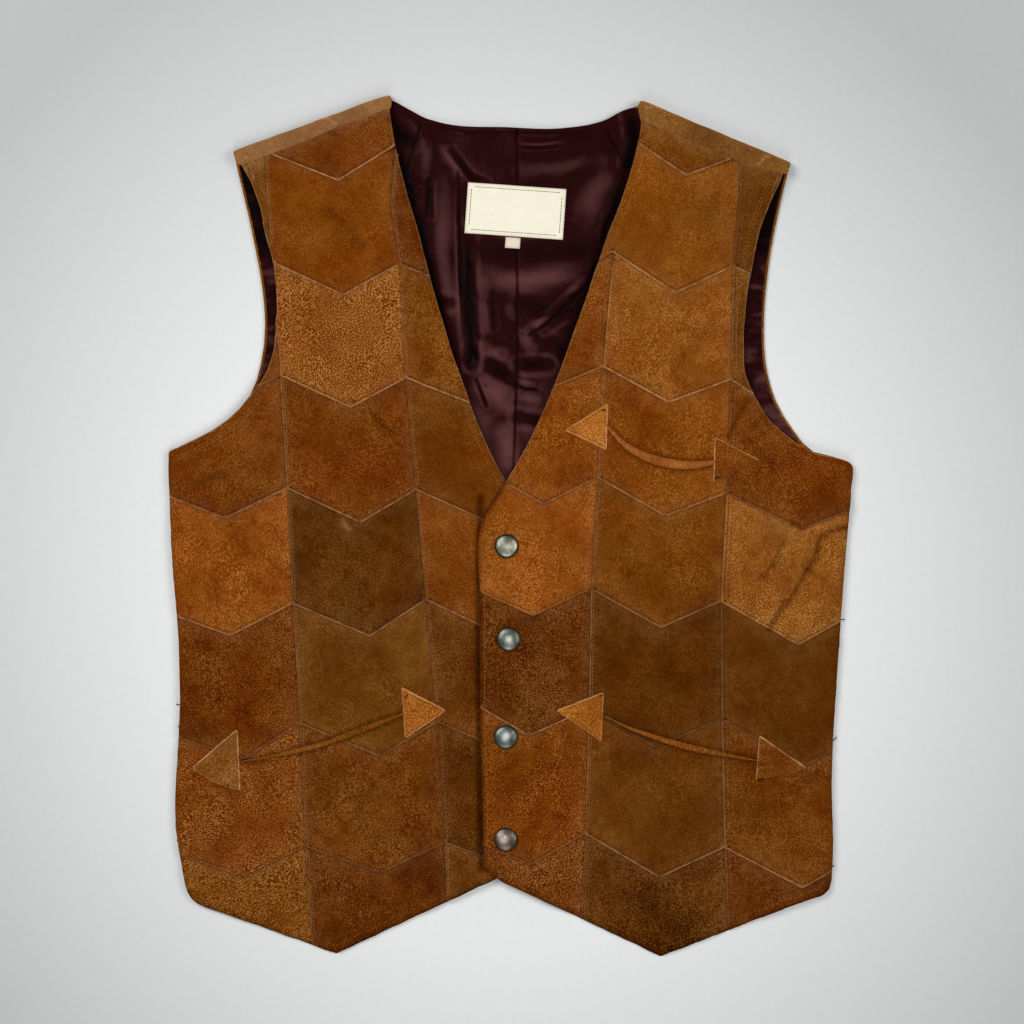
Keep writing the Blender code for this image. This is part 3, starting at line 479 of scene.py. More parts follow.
# Satin: clouds as size and detail, threads, and what the painted shine, clouds and threads add to its level
SATIN_FINISH = {"Roughness": 0.42, "Specular IOR Level": 0.04, "Specular Tint": (1.0, 0.6, 0.55, 1.0)}
SATIN_CLOUDS = (26.0, 3.0)
SATIN_THREAD, SATIN_STRETCH = 0.5, (1.0, 0.06, 1.0)
SATIN_SHARES, SATIN_START = (1.0, 0.5, 0.2), -0.35
# Ranges of the level that blend into painted shade and into painted shine
SATIN_SHADE_RANGE, SATIN_SHINE_RANGE = (-0.8, 0.0), (0.0, 0.9)
SATIN_RELIEF, SATIN_BUMP = (0.3, 1.0), (0.25, 0.5)
# Painted shade, own tone and painted shine of the satin
WINE_PAINTED_SHADE, WINE, WINE_SHINE = (6, 1, 2), (35, 6, 7), (98, 59, 59)

# Label and size tag: wall, radius and drop of the edge, border stitching, and tone and lift of each
LABEL_WALL = 0.5
LABEL_EDGE = (0.4, 0.3)
LABEL_BORDER = 2.8
LABEL_PITCH = 2.3
LABEL_THREAD_RADIUS = 0.22
LABEL_LOOKS = {"neck_label": ((238, 231, 209), 1.1), "size_tag": ((228, 214, 192), 0.8)}
# Columns: size, height, seed
LABEL_WAVES = ((13.0, 0.5, 31.0), (5.0, 0.2, 33.0))
# Woven cloth: yarns both ways, clouds as size and detail, and what yarns and clouds add to its level
LABEL_FINISH = {"Roughness": 0.85, "Specular IOR Level": 0.2, "Sheen Weight": 0.1}
LABEL_YARN, LABEL_WEAVE = 0.5, ((1.0, 0.1, 1.0), (0.1, 1.0, 1.0))
LABEL_CLOUDS = (9.0, 3.0)
LABEL_SHARES, LABEL_START = (0.5, 0.5, 0.6), -0.3
LABEL_SHADES = (0.86, 1.1)
# Tint of the label's darker rim
LABEL_DARKENING_TINT = (0.45, 0.38, 0.3, 1.0)
LABEL_BUMP = (0.3, 0.2)

# Thread: size of its twist, its dark and light shades, strength and depth of its relief, and tones
THREAD_FINISH = {"Roughness": 0.9, "Specular IOR Level": 0.04}
THREAD_TWIST = 0.7
THREAD_SHADES = (0.7, 1.3)
THREAD_BUMP = (0.4, 0.15)
LABEL_THREAD = (112, 106, 82)
TAB_THREAD = (128, 76, 32)
KNOT_TONE = (40, 20, 12)
# Sewing of the fronts. Columns: tone, radius, slot
SEWING_LOOKS = {
    "seam_stitching": ((80, 44, 17), THREAD_RADIUS, "suede_umber"),
    "lap_stitching": ((156, 100, 50), THREAD_RADIUS, "suede_tan"),
    "edge_stitching": ((146, 92, 46), THREAD_RADIUS, "suede_tan"),
    "knots": (KNOT_TONE, KNOT_RADIUS, "suede_umber"),
}

# Snap caps: outline as radius and height, and painted shade for the dark surroundings they mirror: dark rim
# as strength, start and reach, and start and reach of the outer shade and of the dark side
SNAP_OUTLINE = ((0.01, 3.2), (1.6, 3.16), (3.2, 3.03), (4.7, 2.78), (5.9, 2.44), (6.9, 2.02), (7.6, 1.58),
                (8.1, 1.08), (8.4, 0.5), (8.4, 0.0), (8.0, -0.6))
SNAP_RIM = (0.95, 6.5, 0.9)
SNAP_OUTER_SHADE = (0.8, 4.4)
SNAP_SHADE = (0.0, 4.5)
SNAP_SIDES = 48
SNAP_STEPS = 3
# Worn metal: spots as size, detail and roughness, their shade, wear and the roughness that it gives
METAL_SHIFT = 0.21
METAL_SPOTS = (2.2, 4.0, 0.65)
METAL_SPOT_SHADE = 0.55
# Tint of the painted shade on the caps
METAL_SHADE_TINT = (0.13, 0.14, 0.125, 1.0)
METAL_WEAR, METAL_WEAR_RANGE = 6.0, (0.3, 0.7)
METAL_ROUGHNESS = (0.36, 0.46)
METAL_BUMP = (0.06, 0.2)
# Columns: tone, where the painted shade leaves the cap brightest, how dark its outer shade gets away from
# there, way to its painted dark side, how dark that is
SNAP_LOOKS = {
    "snap_1": ((200, 198, 178), (0.8, -0.8), 0.4, 95.0, 0.7),
    "snap_2": ((218, 220, 208), (0.6, -0.8), 0.84, 10.0, 0.96),
    "snap_3": ((222, 226, 222), (0.0, 0.3), 0.88, -20.0, 0.98),
    "snap_4": ((226, 204, 188), (-1.8, 0.6), 0.88, -20.0, 0.98),
}

# Loose thread ends: place on the edge, way out, length
THREAD_ENDS = (
    ((229.8, -65), (1, -0.35), 4),
    ((225.5, -150), (1, 0.5), 3.4),
    ((223.5, -239), (1, 0.2), 3.4),
    ((-231, -125), (-1, 0.3), 3.4),
    ((-230.5, -139), (-1, -0.3), 3),
    ((-230.5, -221), (-1, 0.6), 3.6),
)
END_SUNK, END_BEND = 0.3, 0.25
END_POINTS, END_RADIUS = 6, 0.3
END_START, END_DROP = 2.4, 1.6

# Back: tone, flecks, seed and evenness, welded points, and how far its corners under the arms are drawn in
BACK_LOOK = ("sand", 0.8, 50, 0.85)
BACK_WELD = 0.01
BACK_DRAWN_IN = (0.25, 0.2)
# Its shoulders: level above which they are, fineness, smoothing, growth, and what is folded over in metres
SHOULDER_LEVEL = 1.9
SHOULDER_STEP = 3.2
SHOULDER_PASSES = 5
SHOULDER_SMOOTHING, SHOULDER_EASE = 2, 0.3
SHOULDER_GROWTH = 0.6
# Columns: size, height, seed
SHOULDER_WRINKLES = ((16.0, 0.45, 57.0), (7.0, 0.2, 48.0))
# How faded the right and left one are
SHOULDER_FADING = (0.25, 0.08)
# Shadow beside a seam: its share and how far aside
SEAM_SHADOW = (0.4, 1.6)
# Columns: path, half width, strength
SHOULDER_SEAMS = (
    (((-129.6, 285.6), (-120.3, 280)), 1.6, 0.6),
    (((173, 252.7), (180.7, 259.7)), 1.4, 0.4),
    (((-186, 260.5), (-181.5, 246)), 1.3, 0.5),
    (((-89.5, 297), (-89, 286)), 1, 0.35),
    (((95.3, 293), (95.3, 280)), 1, 0.35),
)
# Columns: place, radius, strength
SHOULDER_STAINS = (
    ((134, 271), 22, 0.45),
    ((162, 261), 22, 0.35),
    ((-112, 290), 16, 0.2),
)


def smooth(share):
    """Zero below zero, one above one, and a smooth rise between."""
    share = np.clip(share, 0.0, 1.0)
    return share * share * (3.0 - 2.0 * share)


def fade(share):
    """One below zero, zero above one, and a smooth fall between."""
    return 1.0 - smooth(share)


def bump(share):
    """One at zero, falling smoothly to zero at one on both sides."""
    return np.maximum(1.0 - share * share, 0.0) ** 2


def linear(tone, shade=1.0):
    """An 8-bit sRGB tone as a linear colour with alpha."""
    shares = [channel / 255.0 for channel in tone]
    channels = [share / 12.92 if share <= 0.04045 else ((share + 0.055) / 1.055) ** 2.4 for share in shares]
    return tuple(channel * shade for channel in channels) + (1.0,)


def ripple(points, size, seed):
    """Smooth noise at each point, about -0.5 to 0.5, with waves of a size."""
    return np.array([noise.noise((x / size, y / size, seed)) for x, y in points])


def ripples(points, rows):
    """Sum of several waves, each with its size, height and seed."""
    return sum(height * ripple(points, size, seed) for size, height, seed in rows)


def lengths_of(rows):
    """Length of each row of numbers."""
    return np.linalg.norm(rows, axis=1)


def distances(points, starts, ends):
    """Distance from each point to the nearest of the straight runs."""
    runs = ends - starts
    squares = np.maximum((runs ** 2).sum(axis=1), TINY)
    offsets = points[:, None, :] - starts[None]
    shares = np.clip((offsets * runs).sum(axis=2) / squares, 0.0, 1.0)
    return np.sqrt(((offsets - shares[..., None] * runs) ** 2).sum(axis=2)).min(axis=1)


def path_distances(points, path):
    """Distance from each point to a path."""
    path = np.array(path)
    return distances(points, path[:-1], path[1:])


def loop_distances(points, loop):
    """Distance from each point to a closed loop."""
    return distances(points, loop, np.roll(loop, -1, axis=0))


def band(points, path, half_width):
    """One on a path, falling smoothly to zero at a half width from it."""
    return bump(path_distances(points, path) / half_width)


def spot(points, place, radius):
    """One at a place, falling smoothly to zero at a radius from it."""
    return bump(lengths_of(points - np.array(place)) / radius)


def inside(points, loop):
    """Whether each point lies inside a closed loop."""
    starts, ends = loop, np.roll(loop, -1, axis=0)
    x, y = points[:, None, 0], points[:, None, 1]
    crosses = (starts[:, 1] > y) != (ends[:, 1] > y)
    rise = np.where(np.abs(ends[:, 1] - starts[:, 1]) < TINY, TINY, ends[:, 1] - starts[:, 1])
    at = starts[:, 0] + (y - starts[:, 1]) * (ends[:, 0] - starts[:, 0]) / rise
    return (crosses & (x < at)).sum(axis=1) % 2 == 1


def fold_heights(points, folds):
    """Sum of the ridges and troughs at each point, each with soft flanks and tapered ends."""
    total = np.zeros(len(points))
    for path, half_width, height in folds:
        path = np.array(path)
        share = path_distances(points, path) / half_width
        length = lengths_of(np.diff(path, axis=0)).sum()
        to_end = np.minimum(lengths_of(points - path[0]), lengths_of(points - path[-1]))
        taper = TAPER_END + (1.0 - TAPER_END) * smooth(to_end / (CREASE_TAPER * length))
        total += height * taper * (bump(share) - FLANK * bump((share - FLANK_PLACE) / FLANK_WIDTH))
    return total


def node_triangles(name):
    """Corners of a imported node's triangles, as an array of triangles in millimetres."""
    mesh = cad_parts[name].data
    places = np.empty(len(mesh.vertices) * 3)
    mesh.vertices.foreach_get("co", places)
    corners = np.empty(len(mesh.loops), dtype=int)
    mesh.loops.foreach_get("vertex_index", corners)
    return places.reshape(-1, 3)[corners].reshape(-1, 3, 3) / MM


def upper_triangles(name):
    """Those of a node's triangles that look up."""
    triangles = node_triangles(name)
    across = np.cross(triangles[:, 1] - triangles[:, 0], triangles[:, 2] - triangles[:, 0])
    return triangles[across[:, 2] > UPWARD * lengths_of(across)]


def outline(name):
    """Edge of a node's upper face as seen from above, once round against the clock."""
    edges = set()
    for triangle in upper_triangles(name):
        corners = [tuple(corner.round(3)) for corner in triangle]
        edges.update(zip(corners, corners[1:] + corners[:1]))
    after = {start: end for start, end in edges if (end, start) not in edges}
    loops = []
    while after:
        loop = [min(after)]
        while loop[-1] in after:
            loop.append(after.pop(loop[-1]))
        loops.append(loop[:-1])
    return np.array(max(loops, key=len))[:, :2]


def smooth_loop(points, spacing):
    """Points about a spacing apart on a closed loop, smooth where it turns little and sharp at corners."""
    runs = np.roll(points, -1, axis=0) - points
    lengths = lengths_of(runs)
    leaving = runs / lengths[:, None]
    arriving = np.roll(leaving, 1, axis=0)
    turns = np.arccos(np.clip((leaving * arriving).sum(axis=1), -1.0, 1.0))
    middles = arriving * lengths[:, None] + leaving * np.roll(lengths, 1)[:, None]
    middles /= lengths_of(middles)[:, None]
    sharp = (turns > CORNER)[:, None]
    starts = np.where(sharp, leaving, middles)
    ends = np.roll(np.where(sharp, arriving, middles), -1, axis=0)
    result = []
    for index, length in enumerate(lengths):
        steps = max(1, round(length / spacing))
        t = np.arange(steps)[:, None] / steps
        start, end = points[index], points[(index + 1) % len(points)]
        result.append(start * (1 + 2 * t) * (1 - t) ** 2 + starts[index] * length * t * (1 - t) ** 2
                      + end * t * t * (3 - 2 * t) + ends[index] * length * t * t * (t - 1))
    return np.concatenate(result)


def blurred(grid, sigma):
    """A grid smoothed both ways."""
    reach = int(3.0 * sigma) + 1
    kernel = np.exp(-0.5 * (np.arange(-reach, reach + 1) / sigma) ** 2)
    for axis in (0, 1):
        grid = np.apply_along_axis(np.convolve, axis, grid, kernel / kernel.sum(), "same")
    return grid


class HeightMap:
    """Heights of triangles seen from above on an even grid, smoothed and carried past their edge."""

    def __init__(self, triangles, step, blur, low=None, high=None):
        corners = triangles.reshape(-1, 3)
        self.step = step
        self.low = (corners[:, :2].min(axis=0) if low is None else low) - 3.0 * blur
        far = (corners[:, :2].max(axis=0) if high is None else high) + 3.0 * blur
        counts = np.ceil((far - self.low) / step).astype(int) + 1
        tree = BVHTree.FromPolygons(corners.tolist(), np.arange(len(corners)).reshape(-1, 3).tolist())
        above = corners[:, 2].max() + 1.0
        heights, known = np.zeros(counts), np.zeros(counts)
        for cell in np.ndindex(*counts):
            x, y = self.low + np.array(cell) * step
            place = tree.ray_cast(Vector((x, y, above)), DOWN)[0]
            if place is not None:
                heights[cell], known[cell] = place.z, 1.0
        self.heights = blurred(heights, blur / step) / np.maximum(blurred(known, blur / step), TINY)

    def __call__(self, points):
        places = (points - self.low) / self.step
        cells = np.clip(np.floor(places).astype(int), 0, np.array(self.heights.shape) - 2)
        (i, j), (u, v) = cells.T, (places - cells).T
        heights = self.heights
        return (heights[i, j] * (1 - u) * (1 - v) + heights[i + 1, j] * u * (1 - v)
                + heights[i, j + 1] * (1 - u) * v + heights[i + 1, j + 1] * u * v)


class Cut:
    """A cut of cloth seen from above: its edge, what each stretch of it meets, what it lies on."""

    def __init__(self, name, loop, kinds, base, wall, radius=EDGE_RADIUS, drop=EDGE_DROP, relief=None):
        self.name, self.loop, self.kinds, self.base = name, loop, kinds, base
        self.wall, self.radius, self.drop, self.relief = wall, radius, drop, relief
        self.beside = []
        self.finer = None
        self.ends = np.roll(loop, -1, axis=0)
        runs = self.ends - loop
        runs /= lengths_of(runs)[:, None]
        ways = runs + np.roll(runs, 1, axis=0)
        ways /= np.maximum(lengths_of(ways)[:, None], TINY)
        self.inward = np.stack((-ways[:, 1], ways[:, 0]), axis=1)

    def distance(self, points, *kinds):
        """Distance from points to the stretches of the edge of some kinds, or to all of it."""
        chosen = np.isin(self.kinds, kinds) if kinds else np.ones(len(self.loop), dtype=bool)
        if not chosen.any():
            return np.full(len(points), FAR)
        return distances(points, self.loop[chosen], self.ends[chosen])

    def under_depth(self, points):
        """How far inside the seams where it goes under a neighbour, below zero past them."""
        depth = self.distance(points, "under")
        return np.where(inside(points, self.loop), depth, -depth)

    def sewn_edge(self):
        """Its edge with the allowance that is tucked under its neighbours, but not at their ends."""
        shifts = np.zeros(len(self.loop))
        for kinds, shift in ((("under",), TUCK), (("yoke",), YOKE_TUCK), (OVER, SEAM_GAP)):
            chosen = np.isin(self.kinds, kinds)
            shifts[chosen & np.roll(chosen, 1)] = shift
        edge = self.loop - self.inward * shifts[:, None]
        if self.beside:
            covered = np.any([inside(edge, loop) for loop in self.beside], axis=0)
            edge = np.where((covered | (shifts < TUCK))[:, None], edge, self.loop)
        return edge

    def height(self, points):
        """Height of its upper face."""
        shown = tuple(sorted(set(self.kinds) - set(FLUSH)))
        edge = self.distance(points, *shown) if shown else np.full(len(points), FAR)
        share = np.clip(1.0 - edge / self.radius, 0.0, 1.0)
        heights = self.base(points) - self.drop * (1.0 - np.sqrt(1.0 - share * share))
        return heights + self.relief(self, points) if self.relief else heights


def triangulate(loop, loose):
    """Points and triangles that fill a loop, with corners at the loose points too."""
    places = [Vector(point) for point in np.concatenate((loop, loose))]
    edge = [list(range(len(loop)))]
    corners, _, faces, _, _, owners = delaunay_2d_cdt(places, [], edge, TRIANGLES_INSIDE, WELD)
    corners = np.array([corner[:] for corner in corners])
    triangles = np.array([face for face, owner in zip(faces, owners) if owner])
    a, b, c = (corners[triangles[:, place]] for place in range(3))
    turned = (b - a)[:, 0] * (c - a)[:, 1] - (b - a)[:, 1] * (c - a)[:, 0] < 0.0
    triangles[turned] = triangles[turned][:, ::-1]
    used, places = np.unique(triangles, return_inverse=True)
    return corners[used], places.reshape(-1, 3)


def grid_points(loop, step):
    """A staggered grid over a loop."""
    low, high = loop.min(axis=0), loop.max(axis=0)
    rows = []
    for row, y in enumerate(np.arange(low[1], high[1], step * math.sqrt(3.0) / 2.0)):
        across = np.arange(low[0] + (step / 2.0) * (row % 2), high[0], step)
        rows.append(np.column_stack((across, np.full(len(across), y))))
    return np.concatenate(rows)


def fill(cut, step):
    """Points and triangles of a cut, with rings close to its edge, and finer where it says so."""
    edge = cut.sewn_edge()
    loose = []
    for depth in RINGS:
        ring = cut.loop + cut.inward * depth
        loose.append(ring[cut.distance(ring) > depth * RING_CLEARANCE])
    grid = grid_points(edge, step)
    if cut.finer is not None:
        part, fine_step = cut.finer
        fine = grid_points(part, fine_step)
        grid = np.concatenate((grid[~inside(grid, part)], fine[inside(fine, part)]))
    loose.append(grid[cut.distance(grid) > RINGS[-1] + 0.5 * step])
    return triangulate(edge, np.concatenate(loose))


def rim_edges(triangles):
    """Edges round a set of triangles, in their own direction."""
    edges = np.concatenate((triangles[:, (0, 1)], triangles[:, (1, 2)], triangles[:, (2, 0)]))
    known = {tuple(edge) for edge in edges.tolist()}
    return np.array([edge for edge in edges.tolist() if (edge[1], edge[0]) not in known])


def new_piece(name, places, faces, material, attributes=None):
    """A smooth-shaded object of the model, from places in millimetres, with values at its corners."""
    mesh = bpy.data.meshes.new(name)
    mesh.from_pydata((np.asarray(places) * MM).tolist(), [], faces)
    mesh.polygons.foreach_set("use_smooth", np.ones(len(mesh.polygons), dtype=bool))
    for label, values in (attributes or {}).items():
        layer = mesh.attributes.new(label, "FLOAT", "POINT")
        layer.data.foreach_set("value", np.asarray(values, dtype=float))
    mesh.materials.append(material)
    piece = bpy.data.objects.new(name, mesh)
    bpy.context.scene.collection.objects.link(piece)
    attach(piece, "root")
    return piece


def shell(cut, step, material, paint):
    """The closed shell of a cut, painted with values that depend on its points."""
    points, triangles = fill(cut, step)
    top = cut.height(points)
    bottom = np.maximum(np.minimum(top - cut.wall, cut.base(points) - cut.wall), THINNEST)
    bottom = np.minimum(bottom, top - THINNEST)
    count = len(points)
    rim = rim_edges(triangles)
    faces = triangles.tolist() + (triangles[:, ::-1] + count).tolist()
    faces += np.stack((rim[:, 1], rim[:, 0], rim[:, 0] + count, rim[:, 1] + count), axis=1).tolist()
    places = np.concatenate((np.column_stack((points, top)), np.column_stack((points, bottom))))
    values = {label: np.tile(value, 2) for label, value in paint(cut, points).items()}
    piece = new_piece(cut.name + "_cloth", places, faces, material, values)
    cut.upper = np.column_stack((points, top))[triangles]
    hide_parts(cut.name)
    return piece


def declare(piece, cut, turned=0.0):
    """Work out how large a cut was before it was sewn: the smallest rectangle that it fits in, and its
    area. Nothing is done with them.

    A narrow strip has some cloth turned down all round as well.
    """
    angles = np.radians(np.arange(HALF_TURN))
    ways = np.stack((np.cos(angles), np.sin(angles)))
    edge = cut.sewn_edge()
    spans = np.ptp(edge @ ways, axis=0) * MM
    best = int(np.argmin(spans * np.roll(spans, -QUARTER_TURN)))
    width, length = sorted((spans[best], spans[(best + QUARTER_TURN) % HALF_TURN]))
    width = max(width, LEAST_WIDTH)
    x, y = edge.T
    area = abs((x * np.roll(y, -1) - y * np.roll(x, -1)).sum()) / 2.0 * MM * MM
    area += turned * lengths_of(np.roll(edge, -1, axis=0) - edge).sum() * MM * MM


def add_node(tree, kind, inputs=None, **settings):
    """A shader node with its settings, and its inputs set or linked by name or place."""
    node = tree.nodes.new(kind)
    for name, value in settings.items():
        setattr(node, name, value)
    for key, value in (inputs or {}).items():
        if isinstance(value, bpy.types.NodeSocket):
            tree.links.new(value, node.inputs[key])
        else:
            node.inputs[key].default_value = value
    return node


def new_material(name, finish):
    """A material whose constant values are set on its shader."""
    material = bpy.data.materials.new(name)
    material.use_nodes = True
    shader = material.node_tree.nodes["Principled BSDF"]
    for socket, value in finish.items():
        shader.inputs[socket].default_value = value
    return material, material.node_tree, shader


def object_place(tree, shift=0.0, turn=0.0):
    """Places on the object, moved and turned so that no two cuts show the same part of a texture."""
    place = add_node(tree, "ShaderNodeTexCoord").outputs["Object"]
    shifts = [shift * share for share in SHIFT_SHARES]
    inputs = {"Vector": place, "Location": shifts, "Rotation": (0.0, 0.0, turn)}
    return add_node(tree, "ShaderNodeMapping", inputs).outputs[0]


def stretched(tree, place, factors):
    """Places scaled along each axis."""
    return add_node(tree, "ShaderNodeVectorMath", {0: place, 1: factors}, operation="MULTIPLY").outputs[0]


def noise_at(tree, place, size, detail=2.0, roughness=0.5):
    """Noise with features of a size."""
    inputs = {"Vector": place, "Scale": 1.0 / (size * MM), "Detail": detail, "Roughness": roughness}
    return add_node(tree, "ShaderNodeTexNoise", inputs).outputs[0]


def remap(tree, value, low, high, to_low=0.0, to_high=1.0):
    """A value carried from one range to another, clamped."""
    inputs = {"Value": value, "From Min": low, "From Max": high, "To Min": to_low, "To Max": to_high}
    return add_node(tree, "ShaderNodeMapRange", inputs).outputs[0]


def blend(tree, factor, first, second, way="MIX"):
    """Two colours mixed."""
    return add_node(tree, "ShaderNodeMix", {0: factor, 6: first, 7: second}, data_type="RGBA",
                    blend_type=way).outputs[2]


def weighted(tree, values, weights, start=0.0):
    """A start value plus each value times its weight."""
    total = start
    for value, weight in zip(values, weights):
        inputs = {0: value, 1: weight, 2: total}
        total = add_node(tree, "ShaderNodeMath", inputs, operation="MULTIPLY_ADD").outputs[0]
    return total


def attribute(tree, name):
    """A value painted on the cloth's corners."""
    return add_node(tree, "ShaderNodeAttribute", attribute_name=name).outputs["Fac"]


def add_bump(tree, shader, height, strength, depth):
    """Fine relief on a shader."""
    inputs = {"Height": height, "Strength": strength, "Distance": depth * MM}
    node = add_node(tree, "ShaderNodeBump", inputs)
    tree.links.new(node.outputs[0], shader.inputs["Normal"])


def times(tree, first, second):
    """Product of two values."""
    return add_node(tree, "ShaderNodeMath", {0: first, 1: second}, operation="MULTIPLY").outputs[0]


def suede(name, tone, flecks, seed, evenness=EVENNESS):
    """Napped suede: drifts, clouds, mottling, grain and gold fibres, pale raw edges, dirt and painted
    shade.

    The fewer flecks it has, the calmer its drifts are. The evenness is the least that shows of a raw edge.
    """
    material, tree, shader = new_material(name, SUEDE_FINISH)
    place = object_place(tree, TEXTURE_SHIFT * seed, TEXTURE_TURN * seed)
    waves = {label: noise_at(tree, place, size) for label, (size, _) in NAP.items()}
    size, darkening, lightening = GRAIN
    grain = noise_at(tree, place, size / math.sqrt(min(max(flecks, 1.0), FINEST)), GRAIN_DETAIL)
    fibre = noise_at(tree, stretched(tree, place, FIBRE_STRETCH), FIBRE)
    turn = noise_at(tree, stretched(tree, place, MIRRORED), HUE_SIZE)
    calm = min(1.0, CALM + (1.0 - CALM) * flecks)
    shares = [share * calm for _, share in NAP.values()]
    level = weighted(tree, waves.values(), shares, 0.5 - 0.5 * sum(shares))
    steps = (0, NAP_DARK, NAP_LIGHT, GRAIN_DARK, GRAIN_PALE)
    own, dark, light, pit, pale = (tuned(TONES[tone], step) for step in steps)
    colour = blend(tree, remap(tree, level, 0.0, 0.5), dark, own)
    colour = blend(tree, remap(tree, level, 0.5, 1.0), colour, light)
    tint = blend(tree, remap(tree, turn, *MOST), *HUES)
    colour = blend(tree, 1.0, colour, tint, "MULTIPLY")
    coarse = remap(tree, waves["clouds"], *MOST, *COARSE)
    pits = times(tree, coarse, remap(tree, grain, *PIT_RANGE, darkening * flecks, 0.0))
    tips = times(tree, coarse, remap(tree, grain, *TIP_RANGE, 0.0, lightening * flecks))
    colour = blend(tree, pits, colour, pit)
    colour = blend(tree, tips, colour, pale)
    colour = blend(tree, remap(tree, fibre, *FIBRE_RANGE, 0.0, FIBRE_SHARE), colour, tuned(GOLD_TONE))
    broken = remap(tree, waves["mottle"], *BREAK_RANGE, evenness, 1.0)
    colour = blend(tree, times(tree, attribute(tree, "raw_edge"), broken), colour, linear(RAW_TONE))
    # Dirt, and painted shade in creases, grooves, round welts and beside seams and edges, darken the colour
    colour = blend(tree, attribute(tree, "dirt_and_shade"), colour, DIRT_AND_SHADE_TINT, "MULTIPLY")
    tree.links.new(colour, shader.inputs["Base Color"])
    relief = weighted(tree, (waves["mottle"], grain, fibre), NAP_RELIEF)
    add_bump(tree, shader, relief, NAP_BUMP, NAP_DEPTH)
    return material


def tuned(tone, step=0):
    """A suede tone as a colour, some 8-bit steps lighter, matched to the light that it lies in."""
    return linear([max(channel * gain + step * share, 0.0)
                   for channel, gain, share in zip(tone, SUEDE_GAIN, STEP_SHARES)])


def satin():
    """Wine-coloured satin with painted soft shine, and painted shade that also darkens its seams."""
    material, tree, shader = new_material("wine_satin", SATIN_FINISH)
    place = object_place(tree)
    clouds = noise_at(tree, place, *SATIN_CLOUDS)
    threads = noise_at(tree, stretched(tree, place, SATIN_STRETCH), SATIN_THREAD)
    level = weighted(tree, (attribute(tree, "shine"), clouds, threads), SATIN_SHARES, SATIN_START)
    colour = blend(tree, remap(tree, level, *SATIN_SHADE_RANGE), linear(WINE_PAINTED_SHADE), linear(WINE))
    colour = blend(tree, remap(tree, level, *SATIN_SHINE_RANGE), colour, linear(WINE_SHINE))
    tree.links.new(colour, shader.inputs["Base Color"])
    add_bump(tree, shader, weighted(tree, (threads, clouds), SATIN_RELIEF), *SATIN_BUMP)
    return material


def woven(name, tone):
    """Plain woven label cloth."""
    material, tree, shader = new_material(name, LABEL_FINISH)
    place = object_place(tree)
    warp, weft = (noise_at(tree, stretched(tree, place, stretch), LABEL_YARN) for stretch in LABEL_WEAVE)
    clouds = noise_at(tree, place, *LABEL_CLOUDS)
    level = weighted(tree, (warp, weft, clouds), LABEL_SHARES, LABEL_START)
    colour = blend(tree, level, *(linear(tone, shade) for shade in LABEL_SHADES))
    colour = blend(tree, attribute(tree, "dirt_and_shade"), colour, LABEL_DARKENING_TINT, "MULTIPLY")
    tree.links.new(colour, shader.inputs["Base Color"])
    add_bump(tree, shader, weighted(tree, (warp, weft), LABEL_SHARES), *LABEL_BUMP)
    return material


def thread(name, tone):
    """Sewing thread."""
    material, tree, shader = new_material(name, THREAD_FINISH)
    twist = noise_at(tree, object_place(tree), THREAD_TWIST)
    colour = blend(tree, twist, *(linear(tone, shade) for shade in THREAD_SHADES))
    tree.links.new(colour, shader.inputs["Base Color"])
    add_bump(tree, shader, twist, *THREAD_BUMP)
    return material


def aged_metal(name, tone, seed):
    """Worn plated metal with dark spots, and painted shade on its rim and sides."""
    material, tree, shader = new_material(name, {"Metallic": 1.0})
    place = object_place(tree, METAL_SHIFT * seed)
    spots = noise_at(tree, place, *METAL_SPOTS)
    wear = noise_at(tree, place, METAL_WEAR)
    colour = blend(tree, remap(tree, spots, *MOST), linear(tone, METAL_SPOT_SHADE), linear(tone))
    colour = blend(tree, attribute(tree, "dirt_and_shade"), colour, METAL_SHADE_TINT, "MULTIPLY")
    tree.links.new(colour, shader.inputs["Base Color"])
    roughness = remap(tree, wear, *METAL_WEAR_RANGE, *METAL_ROUGHNESS)
    tree.links.new(roughness, shader.inputs["Roughness"])
    add_bump(tree, shader, spots, *METAL_BUMP)
    return material


def garment_edge(place, inward):
    """Which edge of the garment a free stretch of a patch is on."""
    (x, y), (out_x, out_y) = place, -inward
    if y < HEM_TOP and out_y < -HEM_TILT:
        return "hem"
    if abs(x) > SIDE_X and abs(out_x) > SIDE_TILT and y < SIDE_TOP:
        return "side"
    if y > YOKE_LOW and out_y > YOKE_TILT:
        return "yoke"
    if abs(x) > ARMHOLE_X and y > ARMHOLE_LOW:
        return "armhole"
    return "neck" if y > NECK_LOW else "closing"


def patch_outline(name):
    """Outline of a patch, with its narrow tip drawn out and its corner under the arm rounded."""
    points = outline(name).tolist()
    points = [point for last, point in zip(points[-1:] + points, points) if math.dist(last, point) > CLOSE]
    for node, place, places in TIPS:
        if node == name:
            at = nearest(points, place)
            points[at:at + 1] = places
    for node, place, radius in ROUNDED:
        if node == name:
            corner = points[nearest(points, place)]
            points = [point for point in points if point == corner or math.dist(point, corner) > radius]
            at = points.index(corner)
            corners = np.array([points[at - 1], corner, points[at + 1 - len(points)]])
            points[at:at + 1] = rounded(*corners, radius)
    return smooth_loop(np.array(points), EDGE_STEP)


def nearest(points, place):
    """Number of the point nearest to a place."""
    return int(np.argmin(lengths_of(np.array(points) - np.array(place))))


def rounded(last, corner, following, radius):
    """Points that round off a corner between two others."""
    start, end = (corner + (other - corner) * min(radius / np.linalg.norm(other - corner), CORNER_SHARE)
                  for other in (last, following))
    shares = np.linspace(0.0, 1.0, CORNER_POINTS)[:, None]
    return (start * (1 - shares) ** 2 + 2 * corner * shares * (1 - shares) + end * shares ** 2).tolist()


